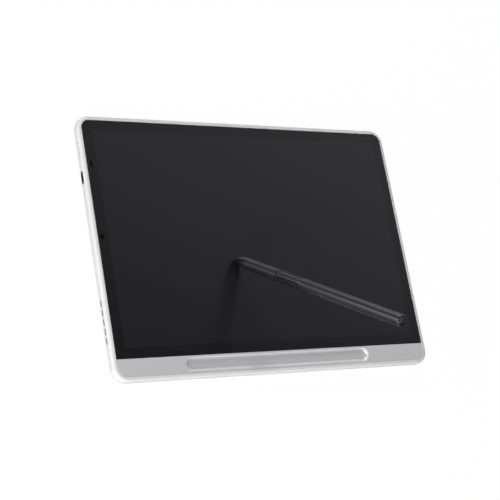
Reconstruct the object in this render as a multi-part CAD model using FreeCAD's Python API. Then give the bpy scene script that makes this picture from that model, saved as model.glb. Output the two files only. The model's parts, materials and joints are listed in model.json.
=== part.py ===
import FreeCAD, Part
import math
import os

# Graphics tablet with screen, lying on its back, and its pen in writing position.
# Origin: middle of the footprint, keys included, on the surface that the tablet lies on.
# +X runs to the tablet's right, +Y to its top edge, +Z out of the screen. Millimetres.

V = FreeCAD.Vector
over = 1.0               # how far a cutting shape runs past the face that it opens

# Front face
glass_w = 250.0          # cover glass, left to right
glass_h = 163.3          # cover glass, bottom to top
chin_h = 11.8            # from the glass down to the rim
rim = 3.2                # white rim round glass and chin
seam = 0.1               # gap round glass and chin strip
corner_r = 10.0          # outer corners
glass_corner_r = 6.0     # upper corners of the glass
chin_corner_r = 7.0      # lower corners of the chin strip
back_edge_r = 3.2
front_edge_r = 2.2
glass_edge = 0.2         # chamfer of the glass's edge

# Layers, from the back to the glass
foot_proud = 0.4
floor_t = 1.0
bay_h = 3.2              # room for battery and boards
plate_t = 0.4
sensor_t = 0.5
backlight_t = 0.9
panel_t = 0.9
glass_t = 0.7
tape_t = 0.1             # bonding gasket under the glass

# Screen
border = 7.3             # black border of the glass, to the active area
panel_border = 2.3       # panel glass beyond the active area
driver_ledge = 2.4       # lower panel glass beyond the upper one, at the bottom
driver_chip_l = 18.0
driver_chip_w = 1.0
driver_chip_h = 0.3
tab_count = 4            # fixing tabs on each side of the backlight
tab_l = 6.0
tab_depth = 0.4
backlight_inset = 0.6
sensor_inset = 1.2

# Pen trough in the chin strip
trough_end_room = 4.5    # longer than the pen
trough_side_room = 0.9   # wider than the pen
trough_depth = 2.2
trough_floor_r = 1.7
trough_lip = 0.3         # chamfer round the trough's mouth
strip_end_r = 0.4        # corners of glass and strip beside each other
chin_t = 1.2
skirt_t = 1.0

# Mid frame
frame_gap = 0.15         # to the walls and to the panel
relief_gap = 0.3         # round what sits against the walls
relief_start = 0.1
well_r = 0.5
frame_window_w = 92.0    # lightening window in the plate over each cell
frame_window_h = 66.0
frame_window_r = 4.0

# Keys on the sides
key_w = 2.2
key_gap = 0.3            # round a key in its slot
key_proud = 0.4
key_edge = 0.2
key_flange_t = 0.6
key_flange_lip = 0.9
key_nub_l = 0.3
key_nub_w = 1.2
key_pocket = 1.4         # pocket behind the slot, from the inside
shoulder_gap = 0.3       # key flange to the slot's shoulder
dome_gap = 0.45          # key nub to the switch dome
dome_h = 0.4
dome_r = 1.0
dome_top_r = 0.6
switch_t = 0.5
power_switch_l = 8.4
holder_t = 1.05
power_from_top = 21.4    # key's middle below the glass's upper edge
power_l = 12.0
volume_u = 48.2          # key's middle from the glass's left edge
volume_l = 21.0
volume_nub_x = 7.0

# Port, pinholes and speakers
port_below_power = 18.4  # middle to middle, down the left side
port_w = 9.2             # opening in the wall
port_h = 3.5
shell_w = 8.94           # USB-C receptacle shell
shell_h = 3.26
shell_wall = 0.3
shell_l = 7.3
shell_recess = 0.4
shell_back_t = 1.0       # closed block at the socket's back
tongue_w = 6.69
tongue_t = 0.7
tongue_l = 4.6
tongue_block_t = 1.0
seat_gap = 0.04          # between two pieces that seat in each other
pin_r = 0.5
pin_below_port = 12.1
pin_below_camera = 10.95
pin_past_volume = 13.8
boot_gap = 0.05          # round a microphone's spout in its pinhole
boot_recess = 0.3        # spout's end behind the wall's face
sound_r = 0.2
mic_w = 3.5
mic_h = 2.65
mic_t = 1.0
slot_count = 5
slot_l = 4.7
slot_h = 1.2
slot_pitch = 6.22
slots_v = 25.2           # middle slot above the glass's lower edge
mesh_t = 0.2
mesh_margin = 1.0
mesh_gap = 0.05          # round a boss of the mesh in its slot
mesh_recess = 0.25       # boss behind the wall's face
speaker_l = 36.0
speaker_w = 9.0
speaker_top_gap = 0.2
speaker_gap = 0.3        # behind the mesh
speaker_mouth_h = 1.0
speaker_mouth_depth = 2.5
speaker_lip = 0.4
speaker_corner_r = 1.5

# Camera and light sensor behind the left border
camera_u = 2.9           # at half the glass's height
camera_size = 4.0
camera_h = 3.2
lens_r = 1.5
lens_h = 0.8
lens_gap = 0.1           # under the glass
light_u = 3.1
light_below_power = 9.7
light_l = 5.2
light_w = 1.6
light_t = 1.0

# Boards and batteries
standoff_h = 0.4
standoff_half = 2.0
board_t = 0.8
board_h = 47.0
board_top_gap = 6.3      # below the glass's upper edge
board_inset_left = 40.0
board_inset_right = 38.0
board_notch_w = 46.0
board_notch_h = 16.0
board_screw_inset = 3.0
usb_board_l = 24.0
usb_board_w = 17.0
usb_board_back = 3.0     # board's edge behind the socket's mouth
shield_h = 1.4
shield_wall = 0.2
board_corner_r = 1.5
processor_can = (62.0, 10.0, 38.0, 30.0)   # from the board's lower left corner, width, height
radio_can = (16.0, 14.0, 30.0, 20.0)
battery_low_gap = 6.2    # above the glass's lower edge
battery_side_gap = 7.5   # to the speaker
battery_board_gap = 11.3
battery_split = 8.0      # free lane between the two cells
battery_seal = 3.0       # sealed terrace at the top end of a cell
battery_seal_t = 1.2
battery_edge = 0.6       # chamfer of the pouch
battery_corner_r = 2.5
battery_top_gap = 0.3
rib_t = 0.8
rib_h = 1.5
rib_gap = 0.3

# Flat cables
cable_t = 0.2
cable_w = 6.0
cable_out = 0.5          # how far a flex stands out where it folds over an edge
plug_h = 0.7
plug_w = 4.0             # along the flex
plug_margin = 0.5        # plug wider than its flex
sensor_plug_u = 130.0    # from the board's lower left corner
sensor_plug_v = 24.0
battery_tab_w = 4.0
battery_tab_inset = 8.0  # from the cell's inner edge
battery_lead_w = 2.0
battery_lead_inset = 0.8 # from the cell's sealed end

# Screws and feet
screw_r = 0.7
screw_head_r = 1.35
screw_head_h = 0.6
screw_clear = 0.05
screw_bite_end = 0.4     # frame screw's end above the floor
screw_inset_u = 22.0
screw_mid_shift = 14.0   # middle screws, clear of the display's flex
boss_sink = 0.15         # how far a screw boss runs into the wall
foot_l = 22.0
foot_w = 6.0
foot_inset = 16.0

# Pen
pen_l = 144.5
pen_r = 4.15
pen_wall = 0.8
tip_out = 1.6            # nib showing beyond the nose
tip_mouth_r = 2.2        # nose radius at its mouth
mouth_round = 0.6
taper_end = 11.6         # from the nib's end to the full width
nose_end = 36.0
spigot_l = 2.0
spigot_wall = 0.5
fit_gap = 0.05           # round a spigot in the barrel
nib_r = 0.8
nib_clear = 0.25
nib_l = 29.0
nib_travel = 0.4
stop_gap = 0.3
cap_l = 5.0
cap_spigot_l = 4.0
cap_edge_r = 0.9
cap_dish_r = 3.2
cap_dish = 1.1
disc_t = 0.5
disc_r = 2.4
disc_edge = 0.15
nib_lift = 0.3           # nib over the glass at rest
rocker_mid = 51.3        # side button's middle, from the nib's end
rocker_l = 22.0
rocker_w = 4.6
rocker_gap = 0.3
rocker_proud = 0.3
rocker_under = 2.9       # height of the pad's underside over the pen's axis
rib_pitch = 1.5
rib_groove = 0.6
rib_cut = 0.25
axle_r = 0.5
axle_clear = 0.06
axle_x = 0.8             # height of the rocker's axle over the pen's axis
ear_w = 2.4
ear_gap = 0.3            # rocker's ear to the lugs
lug_w = 3.2
lug_t = 0.6
lug_inset = 0.5          # lug's outer face inside the carrier's radius
post_w = 1.2
post_gap = 0.6           # post over its dome
side_dome_spread = 7.0   # domes from the rocker's middle
carrier_r = 2.7
carrier_wall = 0.5
carrier_edge = 0.2       # height of the carrier's open edge over the pen's axis
carrier_start = 27.0
carrier_cap_gap = 1.5    # carrier's end to the cap's spigot
seat_rib_t = 0.8
seat_rib_inset = 1.0     # first and last seat rib, from what is next to them
seat_rib_count = 2
seat_rib_gap = 0.1
ferrite_r = 1.5
ferrite_start = 9.8
ferrite_end = 28.0
coil_r = 2.0
coil_start = 16.0
coil_end = 26.0
pressure_r = 2.15
pressure_l = 6.0
pressure_edge = 0.3
pen_board_w = 3.2
pen_board_t = 0.8
pen_board_x = -1.2       # board's underside, from the pen's axis
pen_board_short = 8.0    # board's end before the carrier's
pen_chip_l = 6.0
pen_chip_w = 2.4
pen_chip_past = 20.0     # from the rocker's middle

# Where the pen stands on the glass, and how it leans
pen_u = 102.5            # nib, from the glass's left edge
pen_v = 65.0             # nib, above the glass's lower edge
lean = (0.2379, -0.5316, 0.8129)
button_facing = (-0.782, 0.408, 0.470)

# Places that follow from the sizes above
tablet_w = glass_w + 2 * rim
tablet_h = glass_h + chin_h + 2 * rim
left = -(tablet_w - key_proud) / 2
right = left + tablet_w
bottom = -(tablet_h + key_proud) / 2
top = bottom + tablet_h
middle_x = (left + right) / 2
glass_left = left + rim
glass_right = right - rim
glass_bottom = bottom + rim + chin_h
glass_top = top - rim
wall_t = rim - seam

z_back = foot_proud
z_floor = z_back + floor_t
z_plate = z_floor + bay_h
z_sensor = z_plate + plate_t
z_backlight = z_sensor + sensor_t
z_panel = z_backlight + backlight_t
z_glass = z_panel + panel_t
z_top = z_glass + glass_t
z_ledge = z_glass - tape_t
z_board = z_floor + standoff_h
z_board_top = z_board + board_t
z_side = z_board_top + shell_h / 2

active_x0 = glass_left + border
active_x1 = glass_right - border
active_y0 = glass_bottom + border
active_y1 = glass_top - border
panel_x0 = active_x0 - panel_border
panel_x1 = active_x1 + panel_border
panel_y0 = active_y0 - panel_border
panel_y1 = active_y1 + panel_border
ring_w = panel_x0 - glass_left - 2 * frame_gap
ring_mid = frame_gap + ring_w / 2

shoulder = wall_t - key_pocket
flange_z = shoulder + shoulder_gap
nub_end = flange_z + key_flange_t + key_nub_l
dome_top = nub_end + dome_gap
switch_front = dome_top + dome_h
switch_back = switch_front + switch_t

trough_y = glass_bottom - (chin_h + seam) / 2
trough_l = pen_l + trough_end_room
trough_w = 2 * pen_r + trough_side_room
cap_start = pen_l - cap_l
carrier_end = cap_start - cap_spigot_l - carrier_cap_gap
slots_span = slot_pitch * (slot_count - 1) + slot_l

power_v = glass_h - power_from_top
port_v = power_v - port_below_power
light_v = power_v - light_below_power
camera_v = glass_h / 2
pin_high_v = port_v - pin_below_port
pin_low_v = camera_v - pin_below_camera
pin_top_u = volume_u + pin_past_volume

board_left = glass_left + board_inset_left
board_right = glass_right - board_inset_right
board_top = glass_top - board_top_gap
board_low = board_top - board_h
speaker_x = rim + mesh_t + speaker_gap
battery_w = (tablet_w - battery_split) / 2 - speaker_x - speaker_w - battery_side_gap
battery_low = glass_bottom + battery_low_gap
battery_high = board_low - battery_board_gap

boss_half = ring_mid + seam + boss_sink


def ux(u):
    """X of a place given from the glass's left edge."""
    return glass_left + u


def vy(v):
    """Y of a place given from the glass's lower edge."""
    return glass_bottom + v


def box(x0, y0, z0, x1, y1, z1):
    return Part.makeBox(x1 - x0, y1 - y0, z1 - z0, V(x0, y0, z0))


def slab(x0, y0, x1, y1, z0, z1, radii):
    """Flat block with rounded corners: lower left, lower right, upper right, upper left."""
    corners = (
        (x0, y0, 180), (x1, y0, 270), (x1, y1, 0), (x0, y1, 90),
    )
    edges = []
    ends = []
    for (x, y, start), r in zip(corners, radii):
        if r <= 0:
            ends.append((V(x, y, z0), V(x, y, z0)))
            edges.append(None)
            continue
        cx = x + r if start in (180, 90) else x - r
        cy = y + r if start in (180, 270) else y - r
        points = []
        for turn in (0, 45, 90):
            a = math.radians(start + turn)
            points.append(V(cx + r * math.cos(a), cy + r * math.sin(a), z0))
        edges.append(Part.Arc(*points).toShape())
        ends.append((points[0], points[2]))
    loop = []
    for i in range(4):
        if edges[i] is not None:
            loop.append(edges[i])
        a, b = ends[i][1], ends[(i + 1) % 4][0]
        if a.distanceToPoint(b) > 1e-6:
            loop.append(Part.makeLine(a, b))
    face = Part.Face(Part.Wire(loop))
    return face.extrude(V(0, 0, z1 - z0))


def pill(length, width, z0, z1):
    """Round-ended bar along local X, centred on the local Z axis."""
    r = width / 2
    return slab(-length / 2, -r, length / 2, r, z0, z1, (r, r, r, r))


def placed(shape, origin, x_dir, z_dir):
    """The shape with its local axes turned to x_dir and z_dir and its origin moved."""
    x = V(*x_dir)
    z = V(*z_dir)
    x.normalize()
    z.normalize()
    y = z.cross(x)
    turn = FreeCAD.Matrix(
        x.x, y.x, z.x, origin[0],
        x.y, y.y, z.y, origin[1],
        x.z, y.z, z.z, origin[2],
        0, 0, 0, 1)
    moved = shape.copy()
    moved.Placement = FreeCAD.Placement(turn).multiply(shape.Placement)
    return moved


def level_edges(shape, z):
    """Edges of a shape that lie flat at height z."""
    found = []
    for edge in shape.Edges:
        b = edge.BoundBox
        if abs(b.ZMin - z) < 1e-4 and abs(b.ZMax - z) < 1e-4:
            found.append(edge)
    return found


def cylinder(x, y, z0, z1, r):
    return Part.makeCylinder(r, z1 - z0, V(x, y, z0))


def post(x, y, z0, z1, half):
    """Upright block, square in plan."""
    return box(x - half, y - half, z0, x + half, y + half, z1)


def joined(shapes):
    whole = shapes[0]
    if len(shapes) > 1:
        whole = whole.fuse(shapes[1:])
    return whole.removeSplitter()


# Places on the side walls: local Z points into the tablet from the wall's outer face

def on_left(shape, v):
    return placed(shape, (left, vy(v), z_side), (0, 1, 0), (1, 0, 0))


def on_right(shape, v):
    return placed(shape, (right, vy(v), z_side), (0, 1, 0), (-1, 0, 0))


def on_top(shape, u):
    return placed(shape, (ux(u), top, z_side), (1, 0, 0), (0, -1, 0))


def frame_screw_places():
    """Screws through the ledge of the mid frame: three above, three below."""
    places = []
    for x in (ux(screw_inset_u), middle_x - screw_mid_shift, ux(glass_w - screw_inset_u)):
        places.append((x, glass_bottom + ring_mid))
        places.append((x, glass_top - ring_mid))
    return places


def usb_board_place():
    x0 = left + shell_recess + usb_board_back
    return x0, vy(port_v) - usb_board_l / 2, x0 + usb_board_w, vy(port_v) + usb_board_l / 2


def board_screw_places():
    """Three screws hold the main board, one the port board."""
    x0, x1 = board_left + board_screw_inset, board_right - board_screw_inset
    y0, y1 = board_low + board_screw_inset, board_top - board_screw_inset
    port_board = usb_board_place()
    return [(x0, y0), (x1, y0), (x0, y1),
            (port_board[2] - board_screw_inset, port_board[1] + board_screw_inset)]


def battery_places():
    """Lower left and upper right corners of the two cells."""
    first = middle_x - battery_split / 2 - battery_w
    second = middle_x + battery_split / 2
    return [(first, battery_low, first + battery_w, battery_high),
            (second, battery_low, second + battery_w, battery_high)]


def foot_places():
    inset_x = foot_inset + foot_l / 2
    x0, x1 = left + inset_x, right - inset_x
    y0, y1 = bottom + foot_inset, top - foot_inset
    return [(x0, y0), (x1, y0), (x1, y1), (x0, y1)]


def slot_offsets():
    return [(i - (slot_count - 1) / 2) * slot_pitch for i in range(slot_count)]


def key_opening(length):
    """Slot for a key's cap and the wider pocket for its flange."""
    slot = pill(length + 2 * key_gap, key_w + 2 * key_gap, -over, wall_t + over)
    beyond = key_flange_lip + key_gap
    return slot.fuse(turned_box(length / 2 + beyond, key_w / 2 + beyond, shoulder, wall_t + over))


def rear_cover():
    """White shell: floor, side walls and rim in one, with every opening."""
    outer = slab(left, bottom, right, top, z_back, z_top, (corner_r,) * 4)
    outer = outer.makeFillet(back_edge_r, level_edges(outer, z_back))
    outer = outer.makeFillet(front_edge_r, level_edges(outer, z_top))
    inner_top_r = glass_corner_r + seam
    inner_low_r = chin_corner_r + seam
    cavity = slab(glass_left - seam, bottom + wall_t, glass_right + seam, glass_top + seam,
                  z_floor, z_top + over, (inner_low_r, inner_low_r, inner_top_r, inner_top_r))
    shell = outer.cut(cavity)

    added = []
    for x, y in frame_screw_places():
        added.append(post(x, y, z_floor, z_plate, boss_half))
    for x, y in board_screw_places():
        added.append(post(x, y, z_floor, z_board, standoff_half))
    for x0, y0, x1, y1 in battery_places():
        inner = box(x0 - rib_gap, y0 - rib_gap, z_floor, x1 + rib_gap, y1 + rib_gap, z_floor + rib_h)
        reach = rib_gap + rib_t
        ring = box(x0 - reach, y0 - reach, z_floor, x1 + reach, y1 + reach, z_floor + rib_h)
        added.append(ring.cut(inner))
    inside = slab(left + floor_t, bottom + floor_t, right - floor_t, top - floor_t, z_back, z_top,
                  (corner_r - floor_t,) * 4)
    shell = shell.fuse([piece.common(inside) for piece in added])

    cuts = []
    for x, y in frame_screw_places():
        cuts.append(cylinder(x, y, z_floor, z_plate + over, screw_r + screw_clear))
    for x, y in board_screw_places():
        cuts.append(cylinder(x, y, z_floor, z_board + over, screw_r + screw_clear))
    cuts.append(on_left(pill(port_w, port_h, -over, wall_t + over), port_v))
    cuts.append(on_left(key_opening(power_l), power_v))
    cuts.append(on_top(key_opening(volume_l), volume_u))
    pinhole = Part.makeCylinder(pin_r, wall_t + 2 * over, V(0, 0, -over))
    cuts += [on_left(pinhole, pin_low_v), on_left(pinhole, pin_high_v), on_top(pinhole, pin_top_u)]
    slot = pill(slot_l, slot_h, -over, wall_t + over)
    for offset in slot_offsets():
        cuts.append(on_left(slot, slots_v + offset))
        cuts.append(on_right(slot, slots_v + offset))
    return shell.cut(cuts).removeSplitter()


def chin_strip():
    """Grey strip below the glass: thin plate, skirt and the tub of the pen trough."""
    x0, x1 = glass_left, glass_right
    y0, y1 = bottom + rim, glass_bottom - seam
    radii = (chin_corner_r, chin_corner_r, strip_end_r, strip_end_r)
    plate = slab(x0, y0, x1, y1, z_sensor, z_top, radii)
    inner = tuple(max(r - skirt_t, 0.0) for r in radii)
    hollow = slab(x0 + skirt_t, y0 + skirt_t, x1 - skirt_t, y1 - skirt_t,
                  z_sensor - over, z_top - chin_t, inner)
    centre = (middle_x, trough_y, 0)
    tub = pill(trough_l + 2 * skirt_t, trough_w + 2 * skirt_t, z_sensor - 2 * over, z_top - chin_t)
    body = plate.cut(hollow.cut(placed(tub, centre, (1, 0, 0), (0, 0, 1))))
    z_trough = z_top - trough_depth
    trough = pill(trough_l, trough_w, z_trough, z_top + over)
    trough = trough.makeFillet(trough_floor_r, level_edges(trough, z_trough))
    body = body.cut(placed(trough, centre, (1, 0, 0), (0, 0, 1)))
    lip = []
    for edge in level_edges(body, z_top):
        b = edge.BoundBox
        inside_y = b.YMin > y0 + seam and b.YMax < y1 - seam
        if inside_y and b.XMin > x0 + seam and b.XMax < x1 - seam:
            lip.append(edge)
    return body.makeChamfer(trough_lip, lip).removeSplitter()


def cover_glass():
    pane = slab(glass_left, glass_bottom, glass_right, glass_top, z_glass, z_top,
                (strip_end_r, strip_end_r, glass_corner_r, glass_corner_r))
    return pane.makeChamfer(glass_edge, level_edges(pane, z_top))


def glass_adhesive():
    inset = 2 * frame_gap
    top_r = glass_corner_r - inset
    ring = slab(glass_left + inset, glass_bottom + inset, glass_right - inset, glass_top - inset,
                z_ledge, z_glass, (0, 0, top_r, top_r))
    hole = box(panel_x0 - inset, panel_y0 - inset, z_ledge, panel_x1 + inset, panel_y1 + inset, z_glass)
    return ring.cut(hole)


def display_panel():
    """Two bonded panes: the lower one carries the driver ledge and its chip."""
    middle = z_panel + panel_t / 2
    lower = box(panel_x0, panel_y0, z_panel, panel_x1, panel_y1, middle)
    upper = box(panel_x0, panel_y0 + driver_ledge, middle, panel_x1, panel_y1, z_glass)
    chip_y = panel_y0 + (driver_ledge - driver_chip_w) / 2
    chip_x = middle_x + 2 * cable_w
    chip = box(chip_x, chip_y, middle, chip_x + driver_chip_l, chip_y + driver_chip_w, middle + driver_chip_h)
    return joined([lower, upper, chip])


def backlight_unit():
    """Light guide tray with notches for its fixing tabs in the sides."""
    x0, x1 = panel_x0 + backlight_inset, panel_x1 - backlight_inset
    y0, y1 = panel_y0 + backlight_inset, panel_y1 - backlight_inset
    tray = box(x0, y0, z_backlight, x1, y1, z_panel)
    notches = []
    for i in range(tab_count):
        y = y0 + (y1 - y0) * (i + 0.5) / tab_count
        for x in (x0, x1):
            notches.append(box(x - tab_depth, y - tab_l / 2, z_backlight,
                               x + tab_depth, y + tab_l / 2, z_panel - backlight_t / 2))
    return tray.cut(notches)


def pen_sensor_board():
    """Thin board under the screen that senses the pen."""
    return box(panel_x0 + sensor_inset, panel_y0 + sensor_inset, z_sensor,
               panel_x1 - sensor_inset, panel_y1 - sensor_inset, z_backlight)


def reliefs():
    """Room in the mid frame for what sits against the walls."""
    start = rim - relief_start
    room = []
    clear = relief_gap
    port = box(-shell_w / 2 - clear, -shell_h / 2 - clear - bay_h, start,
               shell_w / 2 + clear, shell_h / 2 + clear, shell_recess + shell_l + clear)
    room.append(on_left(port, port_v))
    high = key_w / 2 + key_flange_lip + clear
    for length, place, where in ((power_l, on_left, power_v), (volume_l, on_top, volume_u)):
        half = length / 2 + key_flange_lip + clear
        room.append(place(turned_box(half, high, start, switch_back), where))
    mic = turned_box(mic_w / 2 + clear, mic_h / 2 + clear, start, rim + mic_t)
    for v in (pin_low_v, pin_high_v):
        room.append(on_left(mic, v))
    room.append(on_top(mic, pin_top_u))
    mesh_room = turned_box(slots_span / 2 + mesh_margin + clear, slot_h / 2 + mesh_margin + clear,
                           start, rim + mesh_t + clear)
    room.append(on_left(mesh_room, slots_v))
    room.append(on_right(mesh_room, slots_v))
    x, y = ux(camera_u), vy(camera_v)
    reach = camera_size / 2 + frame_gap
    room.append(box(x - reach, y - reach, z_floor, x + reach, y + reach, z_glass))
    x, y = ux(light_u), vy(light_v)
    half_w, half_l = light_w / 2 + frame_gap, light_l / 2 + frame_gap
    room.append(box(x - half_w, y - half_l, z_ledge - light_t, x + half_w, y + half_l, z_glass))
    lane = cable_w / 2 + clear
    room.append(box(middle_x - lane, panel_y0 - frame_gap - 2 * cable_out, z_floor,
                    middle_x + lane, panel_y0 + 2 * cable_out, z_glass))
    x, y = sensor_plug_place()
    room.append(box(x - lane, y - 2 * clear, z_floor, x + lane, y + 2 * clear, z_sensor + over))
    return room


def turned_box(half_length, half_height, z0, z1):
    """Box on a side wall's local axes: length along the wall, height across it."""
    return box(-half_length, -half_height, z0, half_length, half_height, z1)


def frame_windows():
    """One lightening window over each cell."""
    windows = []
    for x0, y0, x1, y1 in battery_places():
        x = (x0 + x1 - frame_window_w) / 2
        y = (y0 + y1 - frame_window_h) / 2
        windows.append(slab(x, y, x + frame_window_w, y + frame_window_h,
                            z_plate - over, z_sensor + over, (frame_window_r,) * 4))
    return windows


def mid_frame():
    """Chassis plate with the raised ledge and the switch holders."""
    g = frame_gap
    low_r = chin_corner_r - g
    top_r = glass_corner_r - g
    plate = slab(glass_left + g, bottom + rim + g, glass_right - g, glass_top - g,
                 z_plate, z_sensor, (low_r, low_r, top_r, top_r))
    ring = slab(glass_left + g, glass_bottom + g, glass_right - g, glass_top - g,
                z_plate, z_ledge, (0, 0, top_r, top_r))
    well = slab(panel_x0 - g, panel_y0 - g, panel_x1 + g, panel_y1 + g,
                z_plate, z_ledge, (well_r,) * 4)
    holders = []
    for place, where, length in ((on_left, power_v, power_l), (on_top, volume_u, volume_l)):
        block = box(-length / 2, -key_w / 2, switch_back, length / 2, z_sensor - z_side, switch_back + holder_t)
        holders.append(place(block, where))
    body = joined([plate, ring.cut(well)] + holders)
    cuts = reliefs() + frame_windows() + screw_holes(frame_screw_places(), z_plate, z_ledge)
    seat = screw_head_r + frame_gap
    for x, y in frame_screw_places():
        cuts.append(post(x, y, z_ledge - screw_head_h, z_ledge + over, seat))
    return body.cut(cuts).removeSplitter()


def key(length, nubs):
    """Pill-shaped key: cap, wider flange behind the wall, nubs that press the switch."""
    cap = pill(length, key_w, -key_proud, flange_z + key_flange_t / 2)
    cap = cap.makeChamfer(key_edge, level_edges(cap, -key_proud))
    flange = turned_box(length / 2 + key_flange_lip, key_w / 2 + key_flange_lip,
                        flange_z, flange_z + key_flange_t)
    parts = [cap, flange]
    for x in nubs:
        nub = Part.makeCylinder(key_nub_w / 2, key_nub_l, V(x, 0, flange_z + key_flange_t))
        parts.append(nub)
    return joined(parts)


def power_button():
    return on_left(key(power_l, (0,)), power_v)


def volume_rocker():
    return on_top(key(volume_l, (-volume_nub_x, volume_nub_x)), volume_u)


def switch(length, domes):
    """Thin switch board with a pressed metal dome for each nub."""
    parts = [box(-length / 2, -key_w / 2, switch_front, length / 2, key_w / 2, switch_back)]
    for x in domes:
        parts.append(Part.makeCone(dome_top_r, dome_r, dome_h, V(x, 0, dome_top)))
    return joined(parts)


def power_switch():
    return on_left(switch(power_switch_l, (0,)), power_v)


def volume_switch():
    length = 2 * (volume_nub_x + dome_r + switch_t)
    return on_top(switch(length, (-volume_nub_x, volume_nub_x)), volume_u)


def usb_c_socket():
    """Socket shell, its mouth behind the wall's face, open but for the block at its back."""
    z0, z1 = shell_recess, shell_recess + shell_l
    outer = pill(shell_w, shell_h, z0, z1)
    bore = pill(shell_w - 2 * shell_wall, shell_h - 2 * shell_wall, z0 - over, z1 - shell_back_t)
    return on_left(outer.cut(bore), port_v)


def usb_c_tongue():
    """Contact tongue on its block in front of the socket's closed back."""
    end = shell_recess + shell_l - shell_back_t
    width = shell_w - 2 * shell_wall - seat_gap
    height = shell_h - 2 * shell_wall - seat_gap
    block = box(-(width - height) / 2, -height / 2, end - tongue_block_t, (width - height) / 2, height / 2, end)
    tongue = box(-tongue_w / 2, -tongue_t / 2, end - tongue_block_t - tongue_l, tongue_w / 2, tongue_t / 2, end)
    return on_left(joined([block, tongue]), port_v)


def usb_board():
    x0, y0, x1, y1 = usb_board_place()
    board = slab(x0, y0, x1, y1, z_board, z_board_top, (0, board_corner_r, board_corner_r, 0))
    return board.cut(screw_holes(board_screw_places()[3:], z_board, z_board_top))


def main_board():
    """Board with rounded corners, a notch at the upper right and its screw holes."""
    x1, y1 = board_right, board_top
    board = slab(board_left, board_low, x1, y1, z_board, z_board_top, (board_corner_r,) * 4)
    notch = slab(x1 - board_notch_w, y1 - board_notch_h, x1 + over, y1 + over,
                 z_board - over, z_board_top + over, (board_corner_r, 0, 0, 0))
    return board.cut([notch] + screw_holes(board_screw_places()[:3], z_board, z_board_top))


def shield_can(place):
    """Pressed can, open towards the board."""
    u, v, width, height = place
    x0, y0 = board_left + u, board_low + v
    x1, y1 = x0 + width, y0 + height
    z1 = z_board_top + shield_h
    w = shield_wall
    can = box(x0, y0, z_board_top, x1, y1, z1)
    return can.cut(box(x0 + w, y0 + w, z_board_top, x1 - w, y1 - w, z1 - w))


def processor_shield():
    return shield_can(processor_can)


def radio_shield():
    return shield_can(radio_can)


def battery(place):
    """Flat pouch with chamfered shoulders and its thin sealed terrace at the top end."""
    x0, y0, x1, y1 = place
    z1 = z_plate - battery_top_gap
    pouch = slab(x0, y0, x1, y1 - battery_seal, z_floor, z1, (battery_corner_r,) * 4)
    pouch = pouch.makeChamfer(battery_edge, level_edges(pouch, z1))
    seal = box(x0 + battery_corner_r, y1 - battery_seal - over, z_floor,
               x1 - battery_corner_r, y1, z_floor + battery_seal_t)
    return joined([pouch, seal])


def battery_left():
    return battery(battery_places()[0])


def battery_right():
    return battery(battery_places()[1])


def speaker(side):
    """Flat speaker box with rounded corners and its mouth towards the slots in the wall."""
    z1 = z_plate - speaker_top_gap
    mouth_top = z1 - speaker_lip
    body = slab(-speaker_l / 2, 0, speaker_l / 2, speaker_w, z_floor, z1, (speaker_corner_r,) * 4)
    body = body.cut(box(-slots_span / 2, -over, mouth_top - speaker_mouth_h,
                        slots_span / 2, speaker_mouth_depth, mouth_top))
    x = left + speaker_x if side < 0 else right - speaker_x
    return placed(body, (x, vy(slots_v), 0), (0, side, 0), (0, 0, 1))


def speaker_left():
    return speaker(-1)


def speaker_right():
    return speaker(1)


def speaker_mesh():
    """Mesh flat behind the wall, pressed out into a boss in each slot."""
    parts = [pill(slots_span + 2 * mesh_margin, slot_h + 2 * mesh_margin, wall_t, wall_t + mesh_t)]
    for offset in slot_offsets():
        boss = pill(slot_l - 2 * mesh_gap, slot_h - 2 * mesh_gap, mesh_recess, wall_t + mesh_t)
        parts.append(placed(boss, (offset, 0, 0), (1, 0, 0), (0, 0, 1)))
    return joined(parts)


def speaker_mesh_left():
    return on_left(speaker_mesh(), slots_v)


def speaker_mesh_right():
    return on_right(speaker_mesh(), slots_v)


def microphones():
    """Microphones in rubber boots, flat on the walls, each with a spout in its pinhole."""
    boot = turned_box(mic_w / 2, mic_h / 2, wall_t, wall_t + mic_t)
    spout = Part.makeCylinder(pin_r - boot_gap, wall_t - boot_recess, V(0, 0, boot_recess))
    sound = Part.makeCylinder(sound_r, wall_t, V(0, 0, 0))
    body = joined([boot, spout]).cut(sound)
    shapes = [on_left(body, pin_low_v), on_left(body, pin_high_v), on_top(body, pin_top_u)]
    return Part.makeCompound(shapes)


def front_camera():
    """Square camera module with its round lens barrel just under the glass."""
    x, y = ux(camera_u), vy(camera_v)
    half = camera_size / 2
    z1 = z_glass - lens_h
    base = box(x - half, y - half, z1 - camera_h, x + half, y + half, z1)
    barrel = cylinder(x, y, z1, z_glass - lens_gap, lens_r)
    return joined([base, barrel])


def light_sensor():
    return box(ux(light_u) - light_w / 2, vy(light_v) - light_l / 2, z_ledge - light_t,
               ux(light_u) + light_w / 2, vy(light_v) + light_l / 2, z_glass - lens_gap)


def plug(x, y, half_w, half_l):
    """Connector on the main board, under a flex."""
    return box(x - half_w, y - half_l, z_board_top, x + half_w, y + half_l, z_board_top + plug_h)


def display_cable():
    """Flat flex: from the panel's driver ledge, down, and up the lane to the main board."""
    x0, x1 = middle_x - cable_w / 2, middle_x + cable_w / 2
    y_out = panel_y0 - cable_out
    y_tab = panel_y0 + driver_ledge - cable_out
    z_tab = z_panel + panel_t / 2
    z_low = z_board_top + plug_h
    y_plug = board_low + plug_w
    tab = box(x0, y_out, z_tab, x1, y_tab, z_tab + cable_t)
    fall = box(x0, y_out, z_low, x1, y_out + cable_t, z_tab + cable_t)
    run = box(x0, y_out, z_low, x1, y_plug, z_low + cable_t)
    end = plug(middle_x, y_plug - plug_w / 2, cable_w / 2 + plug_margin, plug_w / 2)
    return joined([tab, fall, run, end])


def sensor_plug_place():
    return board_left + sensor_plug_u, board_low + sensor_plug_v


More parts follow.
